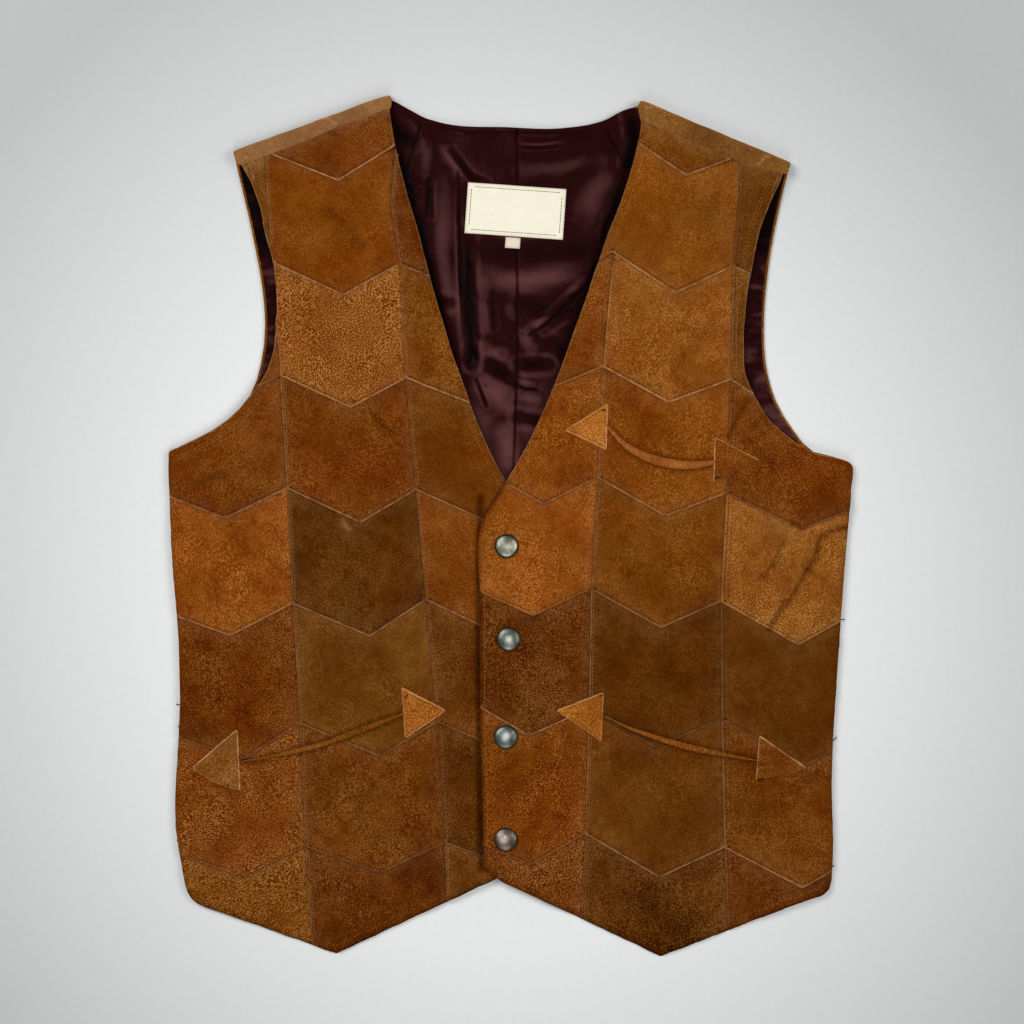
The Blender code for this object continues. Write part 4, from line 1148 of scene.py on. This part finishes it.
def patch_cuts():
    """The cuts of all patches by name, with what each stretch of their edges meets."""
    cuts = {}
    for side in ("right", "left"):
        names = [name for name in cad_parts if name.startswith(side) and "_patch_" in name]
        triangles = np.concatenate([upper_triangles(name) for name in names])
        base = HeightMap(triangles, MAP_STEP, FRONT_BLUR)
        for name in names:
            loop = patch_outline(name)
            kinds = np.full(len(loop), "neck", dtype="<U8")
            cuts[name] = Cut(name, loop, kinds, base, SUEDE, relief=patch_relief)
            cuts[name].side = side
            cuts[name].column, cuts[name].row = name.rsplit("_patch_", 1)
    neighbours = {name: [other for other in cuts.values() if other is not cut and other.side == cut.side]
                  for name, cut in cuts.items()}
    for name, cut in cuts.items():
        mark_edge(cut, neighbours[name])
    for cut in cuts.values():
        trim_edge(cut)
    for name, cut in cuts.items():
        cut.beside = [other.loop for other in neighbours[name]]
    return cuts


def mark_edge(cut, neighbours):
    """Note what each stretch of a patch's edge meets."""
    middles = (cut.loop + cut.ends) / 2.0
    cut.kinds[:] = [garment_edge(place, inward) for place, inward in zip(middles, cut.inward)]
    for other in neighbours:
        cut.kinds[other.distance(middles) < MEETING] = seam_kind(cut, other)


def trim_edge(cut):
    """Make a patch's free edges wavy, and cut its armhole in below the shoulder."""
    for kind, size, height in EDGE_WAVES:
        chosen = (cut.kinds == kind) & (np.roll(cut.kinds, 1) == kind)
        wave = height * ripple(cut.loop[chosen], size, EDGE_SEED)
        cut.loop[chosen] += cut.inward[chosen] * wave[:, None]
    depth, start, reach, share = ARMHOLE_TRIM[cut.side]
    top, top_reach = ARMHOLE_TOP
    chosen = (cut.kinds == "armhole") | (np.roll(cut.kinds, 1) == "armhole")
    trim = depth * chosen * smooth((cut.loop[:, 1] - start) / reach)
    trim *= 1.0 - (1.0 - share) * smooth((cut.loop[:, 1] - top) / top_reach)
    cut.loop += np.column_stack((-np.sign(cut.loop[:, 0]) * trim, ARMHOLE_SLOPE * trim))
    cut.ends = np.roll(cut.loop, -1, axis=0)


def seam_kind(cut, other):
    """Upper patches lap over lower ones, and each column over the one on its -X side."""
    if cut.column == other.column:
        return "over" if int(cut.row) < int(other.row) else "under"
    if cut.loop[:, 0].mean() < other.loop[:, 0].mean():
        return "under"
    return "double" if cut.column == "left_side" else "lap"


def own_rows(rows, side):
    """Rows of a table that are for one front, without their first column."""
    return [row[1:] for row in rows if row[0] == side]


def patch_relief(cut, points):
    """Relief of a patch: laps, stitch grooves, slack between seams, creases, dips and waves."""
    over = cut.distance(points, *OVER)
    under = cut.under_depth(points)
    seam = np.minimum(over, np.abs(under))
    rise = LAP_RISE * fade(over / LAP_REACH)
    rise -= TUCK_DROP * (fade(under / TUCK_REACH) + smooth(-under / TUCK_SLOPE))
    rise += SLACK * smooth(seam / SLACK_REACH)
    rise -= GROOVE * bump((over - SEAM_STITCH) / GROOVE_WIDTH)
    for kind, depth in (("double", SECOND_STITCH),) + EDGE_STITCHES:
        rise -= GROOVE * bump((cut.distance(points, kind) - depth) / GROOVE_WIDTH)
    rise += fold_heights(points, own_rows(CREASES, cut.side))
    lift, reach, start, full = NECK_LIFT
    upper = smooth((points[:, 1] - start) / (full - start))
    rise += lift * fade(cut.distance(points, "neck") / reach) * upper
    rise += ripples(points, WAVES)
    rise += ripples(points, PUCKERS) * np.exp(-seam / PUCKER_REACH)
    if cut.side == "left":
        rise += CLOSING_LIFT[0] * fade(cut.distance(points, "closing") / CLOSING_LIFT[1])
        for name in SNAP_LOOKS:
            rise -= SNAP_DIP[0] * spot(points, node_middle(name), SNAP_DIP[1])
    for loop in welt_loops(cut.side):
        rise -= WELT_GROOVE[0] * bump(loop_distances(points, loop) / WELT_GROOVE[1])
    return rise


def node_middle(name):
    """Middle of a node as seen from above."""
    low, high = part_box(name)
    return np.array((low + high)[:2]) / 2.0 / MM


def welt_loop(name):
    """Edge of a pocket's welt, from its middle line and widths."""
    rows = np.array(WELT_SHAPES[name])
    shares = np.linspace(0.0, len(rows) - 1.0, WELT_POINTS * len(rows))
    dense = np.column_stack([np.interp(shares, np.arange(len(rows)), column) for column in rows.T])
    for _ in range(WELT_SMOOTHING):
        dense[1:-1] = (dense[:-2] + 2.0 * dense[1:-1] + dense[2:]) / 4.0
    middle, widths = dense[:, :2], dense[:, 2:]
    ways = np.gradient(middle, axis=0)
    ways /= lengths_of(ways)[:, None]
    aside = np.column_stack((ways[:, 1], -ways[:, 0])) * widths / 2.0
    return smooth_loop(np.concatenate((middle + aside, (middle - aside)[::-1])), EDGE_STEP)


def welt_loops(side):
    """Edges of the pocket welts on a front."""
    return [WELTS[name] for name in WELTS if (node_middle(name)[0] < 0.0) == (side == "right")]


def cut_edge(cut, points, kind):
    """How much of the pale cut edge shows at each point, beside one kind of edge."""
    return fade((cut.distance(points, kind) - RAW_WIDTH) / RAW_FADE)


def patch_paint(cut, points):
    """Pale raw edges and dirt of a patch, and painted shade past its laps, in its grooves and creases,
    along edges and round its welts.
    """
    over, under = cut.distance(points, *OVER), cut.under_depth(points)
    raw = np.zeros(len(points))
    sewn_edges = (("over", cut.point_edge), ("lap", cut.side_edge), ("double", cut.side_edge))
    for kind, strength in sewn_edges + FREE_EDGES:
        raw = np.maximum(raw, strength * cut_edge(cut, points, kind))
    faded = ((np.minimum(over, np.abs(under)), SEAM_WEAR), (cut.distance(points, "yoke"), YOKE_FADING))
    for distance, (strength, reach) in faded:
        raw = np.maximum(raw, strength * np.exp(-distance / reach))
    for path, half_width, strength in own_rows(SCUFFS, cut.side):
        raw = np.maximum(raw, strength * band(points, path, half_width))
    # Painted shadow just past where the patch goes under its neighbour
    strength, reach = UNDER_LAP_SHADOW
    dirt_and_shade = strength * np.exp(-np.maximum(under, 0.0) / reach)
    # Dirt and painted shade along the garment's edges
    for kind, strength, reach in EDGE_DIRT_AND_SHADE:
        dirt_and_shade = np.maximum(dirt_and_shade, strength * np.exp(-cut.distance(points, kind) / reach))
    for place, radius, strength in own_rows(STAINS, cut.side):
        dirt_and_shade += strength * spot(points, place, radius)
    # Dirt and painted shadow round the welts
    for loop in welt_loops(cut.side):
        dirt_and_shade += WELT_DIRT_AND_SHADE[0] * fade(loop_distances(points, loop) / WELT_DIRT_AND_SHADE[1])
    # Painted shade in the creases that dip
    for path, half_width, height in own_rows(CREASES, cut.side):
        if height < 0.0:
            dirt_and_shade += CREASE_SHADE * np.sqrt(-height) * band(points, path, CREASE_LINE * half_width)
    # Painted shade in the stitch groove
    dirt_and_shade = np.maximum(dirt_and_shade, GROOVE_SHADE * bump((over - SEAM_STITCH) / GROOVE_WIDTH))
    for path, half_width, strength in own_rows(SHADES, cut.side):
        dirt_and_shade = np.maximum(dirt_and_shade, strength * band(points, path, half_width))
    return {"raw_edge": np.clip(raw, 0.0, 1.0), "dirt_and_shade": np.clip(dirt_and_shade, 0.0, 1.0)}


def trim_paint(cut, points):
    """Pale raw edges of a tab."""
    raw = np.zeros(len(points))
    for kind, strength in zip(TAB_EDGES, cut.edges):
        raw = np.maximum(raw, strength * cut_edge(cut, points, kind))
    return {"raw_edge": raw, "dirt_and_shade": np.zeros(len(points))}


def plain_paint(cut, points):
    """No raw edge, and a darker rim, which on the welts is painted shade."""
    strength, reach = RIM_DARKENING
    return {"raw_edge": np.zeros(len(points)), "dirt_and_shade": strength * np.exp(-cut.distance(points) / reach)}


def stitch_runs(cut, kinds, depth):
    """Runs of points along some stretches of a cut's edge, a depth inside it."""
    inner = cut.loop + cut.inward * depth
    keep = np.isin(cut.kinds, kinds) & (cut.distance(inner, *kinds) > RUN_CLEARANCE * depth)
    if keep.all():
        return [np.concatenate((inner, inner[:1]))]
    first = int(np.argmin(keep))
    order = np.roll(np.arange(len(keep)), -first)
    runs, run = [], []
    for index in order:
        if keep[index]:
            run.append(inner[index])
        elif run:
            runs.append(np.array(run))
            run = []
    return [np.array(run) for run in runs + [run] if len(run) > 1]


def stitches(cut, run, pitch):
    """Points of each stitch along a run, with the cut's height there."""
    along = np.concatenate(((0.0,), np.cumsum(lengths_of(np.diff(run, axis=0)))))
    starts = np.arange(0.0, along[-1] - STITCH_LENGTH, pitch)
    result = []
    for shift in np.linspace(0.0, STITCH_LENGTH, STITCH_POINTS):
        places = np.column_stack([np.interp(starts + shift, along, column) for column in run.T])
        result.append(np.column_stack((places, cut.height(places) if len(places) else np.zeros(0))))
    return np.stack(result, axis=1)


def stitch_rows(cut, kinds, depth, pitch=STITCH_PITCH):
    """Stitches along some stretches of a cut's edge, a depth inside it."""
    return [stitches(cut, run, pitch) for run in stitch_runs(cut, kinds, depth)]


def knot(cut, place, turn=KNOT_TURN, length=KNOT_LENGTH):
    """A few threads, crossed at small turns, where stitching starts or ends."""
    paths = []
    for angle in (turn - KNOT_SPREAD, turn, turn + KNOT_SPREAD):
        way = turned_x(angle) * length / 2.0
        points = place + np.outer(np.linspace(-1.0, 1.0, STITCH_POINTS), way)
        paths.append(np.column_stack((points, cut.height(points))))
    return np.stack(paths)


def turned_x(degrees):
    """Direction of x turned by so many degrees."""
    return np.array((math.cos(math.radians(degrees)), math.sin(math.radians(degrees))))


def tube_faces(first, rings, sides):
    """Faces of a closed tube whose rings of points follow each other from a first point on."""
    last = first + (rings - 1) * sides
    faces = []
    for low in range(first, last, sides):
        for side in range(sides):
            after = (side + 1) % sides
            faces.append((low + side, low + after, low + sides + after, low + sides + side))
    return faces + [tuple(range(first + sides - 1, first - 1, -1)), tuple(range(last, last + sides))]


def sew(name, paths, material, radius=THREAD_RADIUS):
    """One joined mesh of short threads, each a tube along its points with its ends sunk in the cloth."""
    paths = np.concatenate(paths)
    count, length = paths.shape[:2]
    lift = radius * np.array([THREAD_SUNK] + [THREAD_LIFT] * (length - 2) + [THREAD_SUNK])
    ways = paths[:, -1, :2] - paths[:, 0, :2]
    ways /= np.maximum(lengths_of(ways)[:, None], TINY)
    aside = np.column_stack((-ways[:, 1], ways[:, 0], np.zeros(count)))
    angles = np.arange(THREAD_SIDES) * 2.0 * math.pi / THREAD_SIDES
    rings = paths[:, :, None, :] + aside[:, None, None, :] * (radius * np.cos(angles))[None, None, :, None]
    rings[..., 2] += (radius * np.sin(angles))[None, None, :] + lift[None, :, None]
    size = length * THREAD_SIDES
    tubes = [tube_faces(first, length, THREAD_SIDES) for first in range(0, count * size, size)]
    faces = [face for tube in tubes for face in tube]
    return new_piece(name, rings.reshape(-1, 3), faces, material)


def build_fronts(cuts):
    """Patches of both fronts, and the sewing on them."""
    sewing = {label: {"right": [], "left": []} for label in SEWING_LOOKS}
    for seed, (name, cut) in enumerate(cuts.items(), start=1):
        looks = PATCH_LOOKS[cut.column][int(cut.row) - FIRST_ROWS[cut.column]]
        tone, flecks, cut.point_edge, cut.side_edge = looks
        piece = shell(cut, GRID_STEP, suede(name, tone, flecks, seed), patch_paint)
        declare(piece, cut)
        seams, laps, edges, knots = (rows[cut.side] for rows in sewing.values())
        seams += stitch_rows(cut, ("over",), SEAM_STITCH)
        laps += stitch_rows(cut, ("lap",), SEAM_STITCH)
        for depth in (SEAM_STITCH, SECOND_STITCH):
            seams += stitch_rows(cut, ("double",), depth)
        for kind, depth in EDGE_STITCHES:
            edges += stitch_rows(cut, (kind,), depth)
        runs = stitch_runs(cut, ("over",), SEAM_STITCH)
        ends = np.array([end for run in runs for end in (run[0], run[-1])])
        if len(ends):
            beside = cut.distance(ends, "lap", "double") < KNOT_REACH
            knots += [knot(cut, place) for place in ends[beside]]
    for label, (tone, radius, slot) in SEWING_LOOKS.items():
        material = thread(label, tone)
        for side, paths in sewing[label].items():
            sew(side + "_" + label, paths, material, radius)


def surface_map(cuts, loop):
    """Heights of the finished fronts round a loop."""
    low, high = loop.min(axis=0) - MAP_MARGIN, loop.max(axis=0) + MAP_MARGIN
    near = [cut.upper for cut in cuts.values()
            if (cut.loop.min(axis=0) < high).all() and (cut.loop.max(axis=0) > low).all()]
    return HeightMap(np.concatenate(near), TRIM_STEP, TRIM_BLUR, low, high)


def raised(surface, lift):
    """Heights of a surface, lifted."""
    return lambda points: surface(points) + lift


def tab_loop(name):
    """Edge of a tab with rounded corners, and with a shorter tip where it has one."""
    corners = outline(name)
    if name in TAB_TIPS:
        solid_tip, tip, reach = TAB_TIPS[name]
        at = nearest(corners, solid_tip)
        kept = lengths_of(corners - np.array(solid_tip)) > reach
        kept[at] = True
        corners[at] = tip
        corners = corners[kept]
    rows = zip(np.roll(corners, 1, axis=0), corners, np.roll(corners, -1, axis=0))
    points = [point for row in rows for point in rounded(*row, TAB_CORNER)]
    return smooth_loop(np.array(points), EDGE_STEP)


def tab_relief(cut, points):
    """Groove that a tab's stitches lie in."""
    return -GROOVE * bump((cut.distance(points) - TAB_STITCH) / GROOVE_WIDTH)


def build_tabs(cuts):
    """Pointed tabs at the pockets' ends, with their stitching and tacks."""
    sewing, tacks = [], []
    for seed, (name, (tone, flecks, edges, tack)) in enumerate(TAB_LOOKS.items(), start=TAB_SEED):
        loop = tab_loop(name)
        base = raised(surface_map(cuts, loop), TAB_LIFT)
        cut = Cut(name, loop, np.full(len(loop), "upper"), base, TAB_WALL, relief=tab_relief)
        cut.kinds[cut.inward[:, 1] > 0.0] = "lower"
        cut.kinds[np.abs(cut.inward[:, 0]) > TAB_TILT] = "base"
        cut.edges = edges
        piece = shell(cut, GRID_STEP, suede(name, tone, flecks, seed), trim_paint)
        declare(piece, cut)
        sewing += stitch_rows(cut, TAB_EDGES, TAB_STITCH)
        tacks.append(knot(cut, *tack))
    sew("tab_stitching", sewing, thread("tab_thread", TAB_THREAD))
    sew("tab_tacks", tacks, thread("tack_thread", KNOT_TONE), KNOT_RADIUS)


def build_welts(cuts):
    """Rolled welts of the pockets."""
    for seed, (name, tone) in enumerate(WELT_TONES.items(), start=WELT_SEED):
        loop = WELTS[name]
        base = raised(surface_map(cuts, loop), WELT_LIFT)
        cut = Cut(name, loop, np.full(len(loop), "roll"), base, WELT_WALL, *WELT_EDGE)
        piece = shell(cut, GRID_STEP, suede(name, tone, WELT_FLECKS, seed), plain_paint)
        declare(piece, cut, turned=WELT_TURN)


def armhole_share(points):
    """How far each point lies towards an armhole, from zero to one."""
    return smooth((np.abs(points[:, 0]) - ARMHOLE_REACH) / ARMHOLE_SOFTNESS)


def lining_relief(cut, points):
    """Folds, seams and wrinkles of the lining."""
    rise = fold_heights(points, [fold[:3] for fold in LINING_FOLDS])
    depth, half_width = LINING_SEAM_GROOVE
    for path in LINING_SEAMS:
        rise -= depth * band(points, path, half_width)
    height, long, short = ARMHOLE_WRINKLE
    wrinkles = ripple(points * np.array((short / long, 1.0)), short, WRINKLE_SEED)
    rise += height * armhole_share(points) * wrinkles
    rise += ripples(points, LINING_WAVES)
    opening = np.array(NECK_OPENING)
    from_edge = loop_distances(points, opening) * inside(points, opening)
    rise += OPENING_RISE[0] * smooth(from_edge / OPENING_RISE[1])
    clear = cut.base(points) + rise - LINING_LOWEST
    return rise - np.minimum(clear, 0.0) * LINING_REST


def lining_paint(cut, points):
    """Painted shine of the lining's folds, more of it low down, and painted shade in its seams, along the
    neck's edges and in its armholes.
    """
    shine = fold_heights(points, [(path, half_width, shine) for path, half_width, _, shine in LINING_FOLDS])
    for path in LINING_SEAMS:
        shine -= LINING_SEAM_SHADE * band(points, path, LINING_SEAM_GROOVE[1])
    strength, low, high = LOWER_SHINE
    shine += strength * fade((points[:, 1] - low) / (high - low))
    strength, reach, start, way = OPENING_SHADE
    upper = smooth((points[:, 1] - start) / way)
    shine -= strength * np.exp(-path_distances(points, NECK_OPENING[:SHADED_POINTS]) / reach) * upper
    low, high, spread, size = ARMHOLE_SHADE
    dark = low + (high - low) * smooth((points[:, 1] - ARMHOLE_DUSK[0]) / ARMHOLE_DUSK[1])
    folds = spread * ripple(points * np.array(ARMHOLE_FOLDS), size, SHADE_SEED)
    shine += armhole_share(points) * (folds - dark)
    return {"shine": np.clip(shine, -1.0, 1.0)}


def build_lining():
    """Back lining, turned out at its neck and armholes."""
    loop = smooth_loop(outline("back_lining"), EDGE_STEP)
    base = HeightMap(upper_triangles("back_lining"), MAP_STEP, LINING_BLUR)
    settings = (np.full(len(loop), "free"), base, SATIN, *LINING_EDGE, lining_relief)
    inward = Cut("back_lining", loop, *settings).inward
    neck = smooth((NECK_HALF - np.abs(loop[:, 0])) / LINING_EASE) * (loop[:, 1] > LINING_NECK_LOW)
    sides = smooth((np.abs(loop[:, 0]) - ARMHOLE_REACH) / LINING_EASE)
    armholes = sides * smooth((loop[:, 1] - ARMPIT) / ARMPIT_REACH)
    loop -= inward * (LINING_TURN * neck + LINING_ARMHOLE_TURN * armholes)[:, None]
    cut = Cut("back_lining", loop, *settings)
    cut.finer = (np.array(NECK_OPENING), FINE_STEP)
    declare(shell(cut, LINING_STEP, satin(), lining_paint), cut)
    return cut


def label_relief(cut, points):
    """Slight waves of the label."""
    return ripples(points, LABEL_WAVES)


def build_label(lining):
    """Neck label with a stitched border, and the size tag below it."""
    labels, pieces = {}, {}
    for name, (tone, lift) in LABEL_LOOKS.items():
        edge = smooth_loop(outline(name), EDGE_STEP)
        low, high = edge.min(axis=0) - MAP_MARGIN, edge.max(axis=0) + MAP_MARGIN
        base = raised(HeightMap(lining.upper, TRIM_STEP, LABEL_BLUR, low, high), lift)
        kinds = np.full(len(edge), "free")
        labels[name] = Cut(name, edge, kinds, base, LABEL_WALL, *LABEL_EDGE, label_relief)
        pieces[name] = shell(labels[name], GRID_STEP, woven(name, tone), plain_paint)
    label = labels["neck_label"]
    sewing = stitch_rows(label, ("free",), LABEL_BORDER, LABEL_PITCH)
    border = sew("label_stitching", sewing, thread("label_thread", LABEL_THREAD), LABEL_THREAD_RADIUS)
    declare(pieces["neck_label"], label)


def wrinkled_back():
    """Places and faces of the back, finer and wrinkled where its shoulders fold over."""
    model = bmesh.new()
    model.from_mesh(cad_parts["back"].data)
    bmesh.ops.remove_doubles(model, verts=model.verts, dist=BACK_WELD * MM)
    for _, place, radius in ROUNDED:
        for corner in model.verts:
            if math.dist(corner.co.xy / MM, place) < radius:
                corner.co.x -= math.copysign(BACK_DRAWN_IN[0] * radius * MM, corner.co.x)
                corner.co.y -= BACK_DRAWN_IN[1] * radius * MM
    for _ in range(SHOULDER_PASSES):
        long = [edge for edge in model.edges if edge.calc_length() > SHOULDER_STEP * MM
                and max(corner.co.z for corner in edge.verts) > SHOULDER_LEVEL * MM]
        bmesh.ops.subdivide_edges(model, edges=long, cuts=1)
        bmesh.ops.triangulate(model, faces=model.faces)
    high = [corner for corner in model.verts if corner.co.z > SHOULDER_LEVEL * MM]
    for _ in range(SHOULDER_SMOOTHING):
        bmesh.ops.smooth_vert(model, verts=high, factor=SHOULDER_EASE, use_axis_x=True, use_axis_y=True,
                              use_axis_z=True)
    model.normal_update()
    for corner in high:
        place = corner.co / MM
        lift = sum(height * noise.noise((place.x / size, place.y / size, seed))
                   for size, height, seed in SHOULDER_WRINKLES)
        corner.co += corner.normal * (lift + SHOULDER_GROWTH) * MM
    model.verts.index_update()
    places = np.array([corner.co[:] for corner in model.verts]) / MM
    faces = [[corner.index for corner in face.verts] for face in model.faces]
    model.free()
    return places, faces


def shoulder_paint(places):
    """Faded and dirty places of the folded shoulders, and painted shadow beside their seams."""
    points, folded = places[:, :2], places[:, 2] > SHOULDER_LEVEL
    raw = np.where(places[:, 0] < 0.0, *SHOULDER_FADING) * folded
    dirt_and_shade = np.zeros(len(places))
    for place, radius, strength in SHOULDER_STAINS:
        dirt_and_shade += strength * spot(points, place, radius)
    dirt_and_shade *= folded
    share, shift = SEAM_SHADOW
    for path, half_width, strength in SHOULDER_SEAMS:
        raw = np.maximum(raw, strength * band(points, path, half_width))
        dirt_and_shade += share * strength * band(points - np.array((shift, 0.0)), path, half_width)
    return {"dirt_and_shade": dirt_and_shade, "raw_edge": raw}


def build_back():
    """Back panel on the surface, with its folded shoulders."""
    places, faces = wrinkled_back()
    piece = new_piece("back_suede", places, faces, suede("back_suede", *BACK_LOOK), shoulder_paint(places))
    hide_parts("back")
    flat = node_triangles("back")


def build_snaps():
    """Turned caps of the snaps, from the bottom up."""
    profile = np.array(SNAP_OUTLINE[::-1])
    shares = np.linspace(0.0, len(profile) - 1.0, SNAP_STEPS * (len(profile) - 1) + 1)
    radii, heights = (np.interp(shares, np.arange(len(profile)), column) for column in profile.T)
    angles = np.arange(SNAP_SIDES) * 2.0 * math.pi / SNAP_SIDES
    rings = np.stack((np.outer(radii, np.cos(angles)), np.outer(radii, np.sin(angles))), axis=2)
    offsets = rings.reshape(-1, 2)
    faces = tube_faces(0, len(radii), SNAP_SIDES)
    strength, start, reach = SNAP_RIM
    rim = np.repeat(strength * smooth((radii - start) / reach), SNAP_SIDES)
    for seed, (name, (tone, bright, outer_shade, turn, shade)) in enumerate(SNAP_LOOKS.items()):
        levels = np.repeat(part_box(name)[0].z / MM + heights, SNAP_SIDES)
        places = np.column_stack((node_middle(name) + offsets, levels))
        # Painted shade: a dark rim, shade that grows away from the brightest place, and a dark side
        spread = lengths_of(offsets - np.array(bright))
        dirt_and_shade = np.maximum(rim, outer_shade * smooth((spread - SNAP_OUTER_SHADE[0]) / SNAP_OUTER_SHADE[1]))
        aside = offsets @ turned_x(turn)
        dirt_and_shade = np.maximum(dirt_and_shade, shade * smooth((aside - SNAP_SHADE[0]) / SNAP_SHADE[1]))
        piece = new_piece(name + "_cap", places, faces, aged_metal(name, tone, seed), {"dirt_and_shade": dirt_and_shade})
        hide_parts(name)


def build_thread_ends():
    """Loose thread ends at the sides."""
    shares = np.linspace(-END_SUNK, 1.0, END_POINTS)
    paths = []
    for place, way, length in THREAD_ENDS:
        way = np.array(way) / np.linalg.norm(way)
        bend = np.array((-way[1], way[0])) * END_BEND * length
        points = np.array(place) + np.outer(shares * length, way) + np.outer(shares ** 2, bend)
        paths.append(np.column_stack((points, END_START - END_DROP * shares)))
    ends = sew("thread_ends", [np.array(paths)], thread("loose_thread", KNOT_TONE), END_RADIUS)


def add_camera():
    """Camera straight above."""
    data = bpy.data.cameras.new("camera")
    data.sensor_fit = "HORIZONTAL"
    data.angle = 2.0 * math.atan(VIEW_WIDTH / 2.0 / VIEW_HEIGHT)
    camera = bpy.data.objects.new("camera", data)
    camera.location = (VIEW_MIDDLE[0] * MM, VIEW_MIDDLE[1] * MM, (VIEW_HEIGHT + CLOTH_LEVEL) * MM)
    bpy.context.scene.collection.objects.link(camera)
    bpy.context.scene.camera = camera


def add_floor():
    """Pale floor with a painted pool of light, and painted shade that darkens it outwards."""
    mesh = bpy.data.meshes.new("floor")
    corners = ((-1.0, -1.0), (1.0, -1.0), (1.0, 1.0), (-1.0, 1.0))
    places = [(x * FLOOR_HALF, y * FLOOR_HALF, FLOOR_LEVEL) for x, y in corners]
    mesh.from_pydata(places, [], [(0, 1, 2, 3)])
    material, tree, shader = new_material("pale_floor", FLOOR_FINISH)
    place = object_place(tree)
    colour = blend(tree, noise_at(tree, place, *FLOOR_GRAIN), *FLOOR_TONES)
    inputs = {0: stretched(tree, place, FLOOR_STRETCH), 1: FLOOR_LIGHT_MIDDLE}
    reach = add_node(tree, "ShaderNodeVectorMath", inputs, operation="DISTANCE").outputs["Value"]
    # Painted shade that darkens the floor outwards from its painted pool of light
    colour = blend(tree, remap(tree, reach, *FLOOR_SHADE_FADE), colour, FLOOR_SHADE_TINT, "MULTIPLY")
    tree.links.new(colour, shader.inputs["Base Color"])
    mesh.materials.append(material)
    floor = bpy.data.objects.new("floor", mesh)
    bpy.context.scene.collection.objects.link(floor)


def add_lights():
    """Soft lights and plain surroundings."""
    for name, place, size, energy in LIGHTS:
        data = bpy.data.lights.new(name, "AREA")
        data.shape, data.size, data.energy = "DISK", size, energy
        light = bpy.data.objects.new(name, data)
        light.location = place
        light.rotation_euler = (-Vector(place)).to_track_quat("-Z", "Y").to_euler()
        bpy.context.scene.collection.objects.link(light)
    world = bpy.data.worlds.new("studio")
    world.use_nodes = True
    background = world.node_tree.nodes["Background"]
    background.inputs["Color"].default_value = WORLD_TONE
    background.inputs["Strength"].default_value = WORLD_STRENGTH
    bpy.context.scene.world = world
    bpy.context.scene.view_settings.view_transform = "Standard"


add_camera()
add_floor()
add_lights()
WELTS = {name: welt_loop(name) for name in WELT_SHAPES}
patches = patch_cuts()
build_back()
build_label(build_lining())
build_fronts(patches)
build_tabs(patches)
build_welts(patches)
build_snaps()
build_thread_ends()
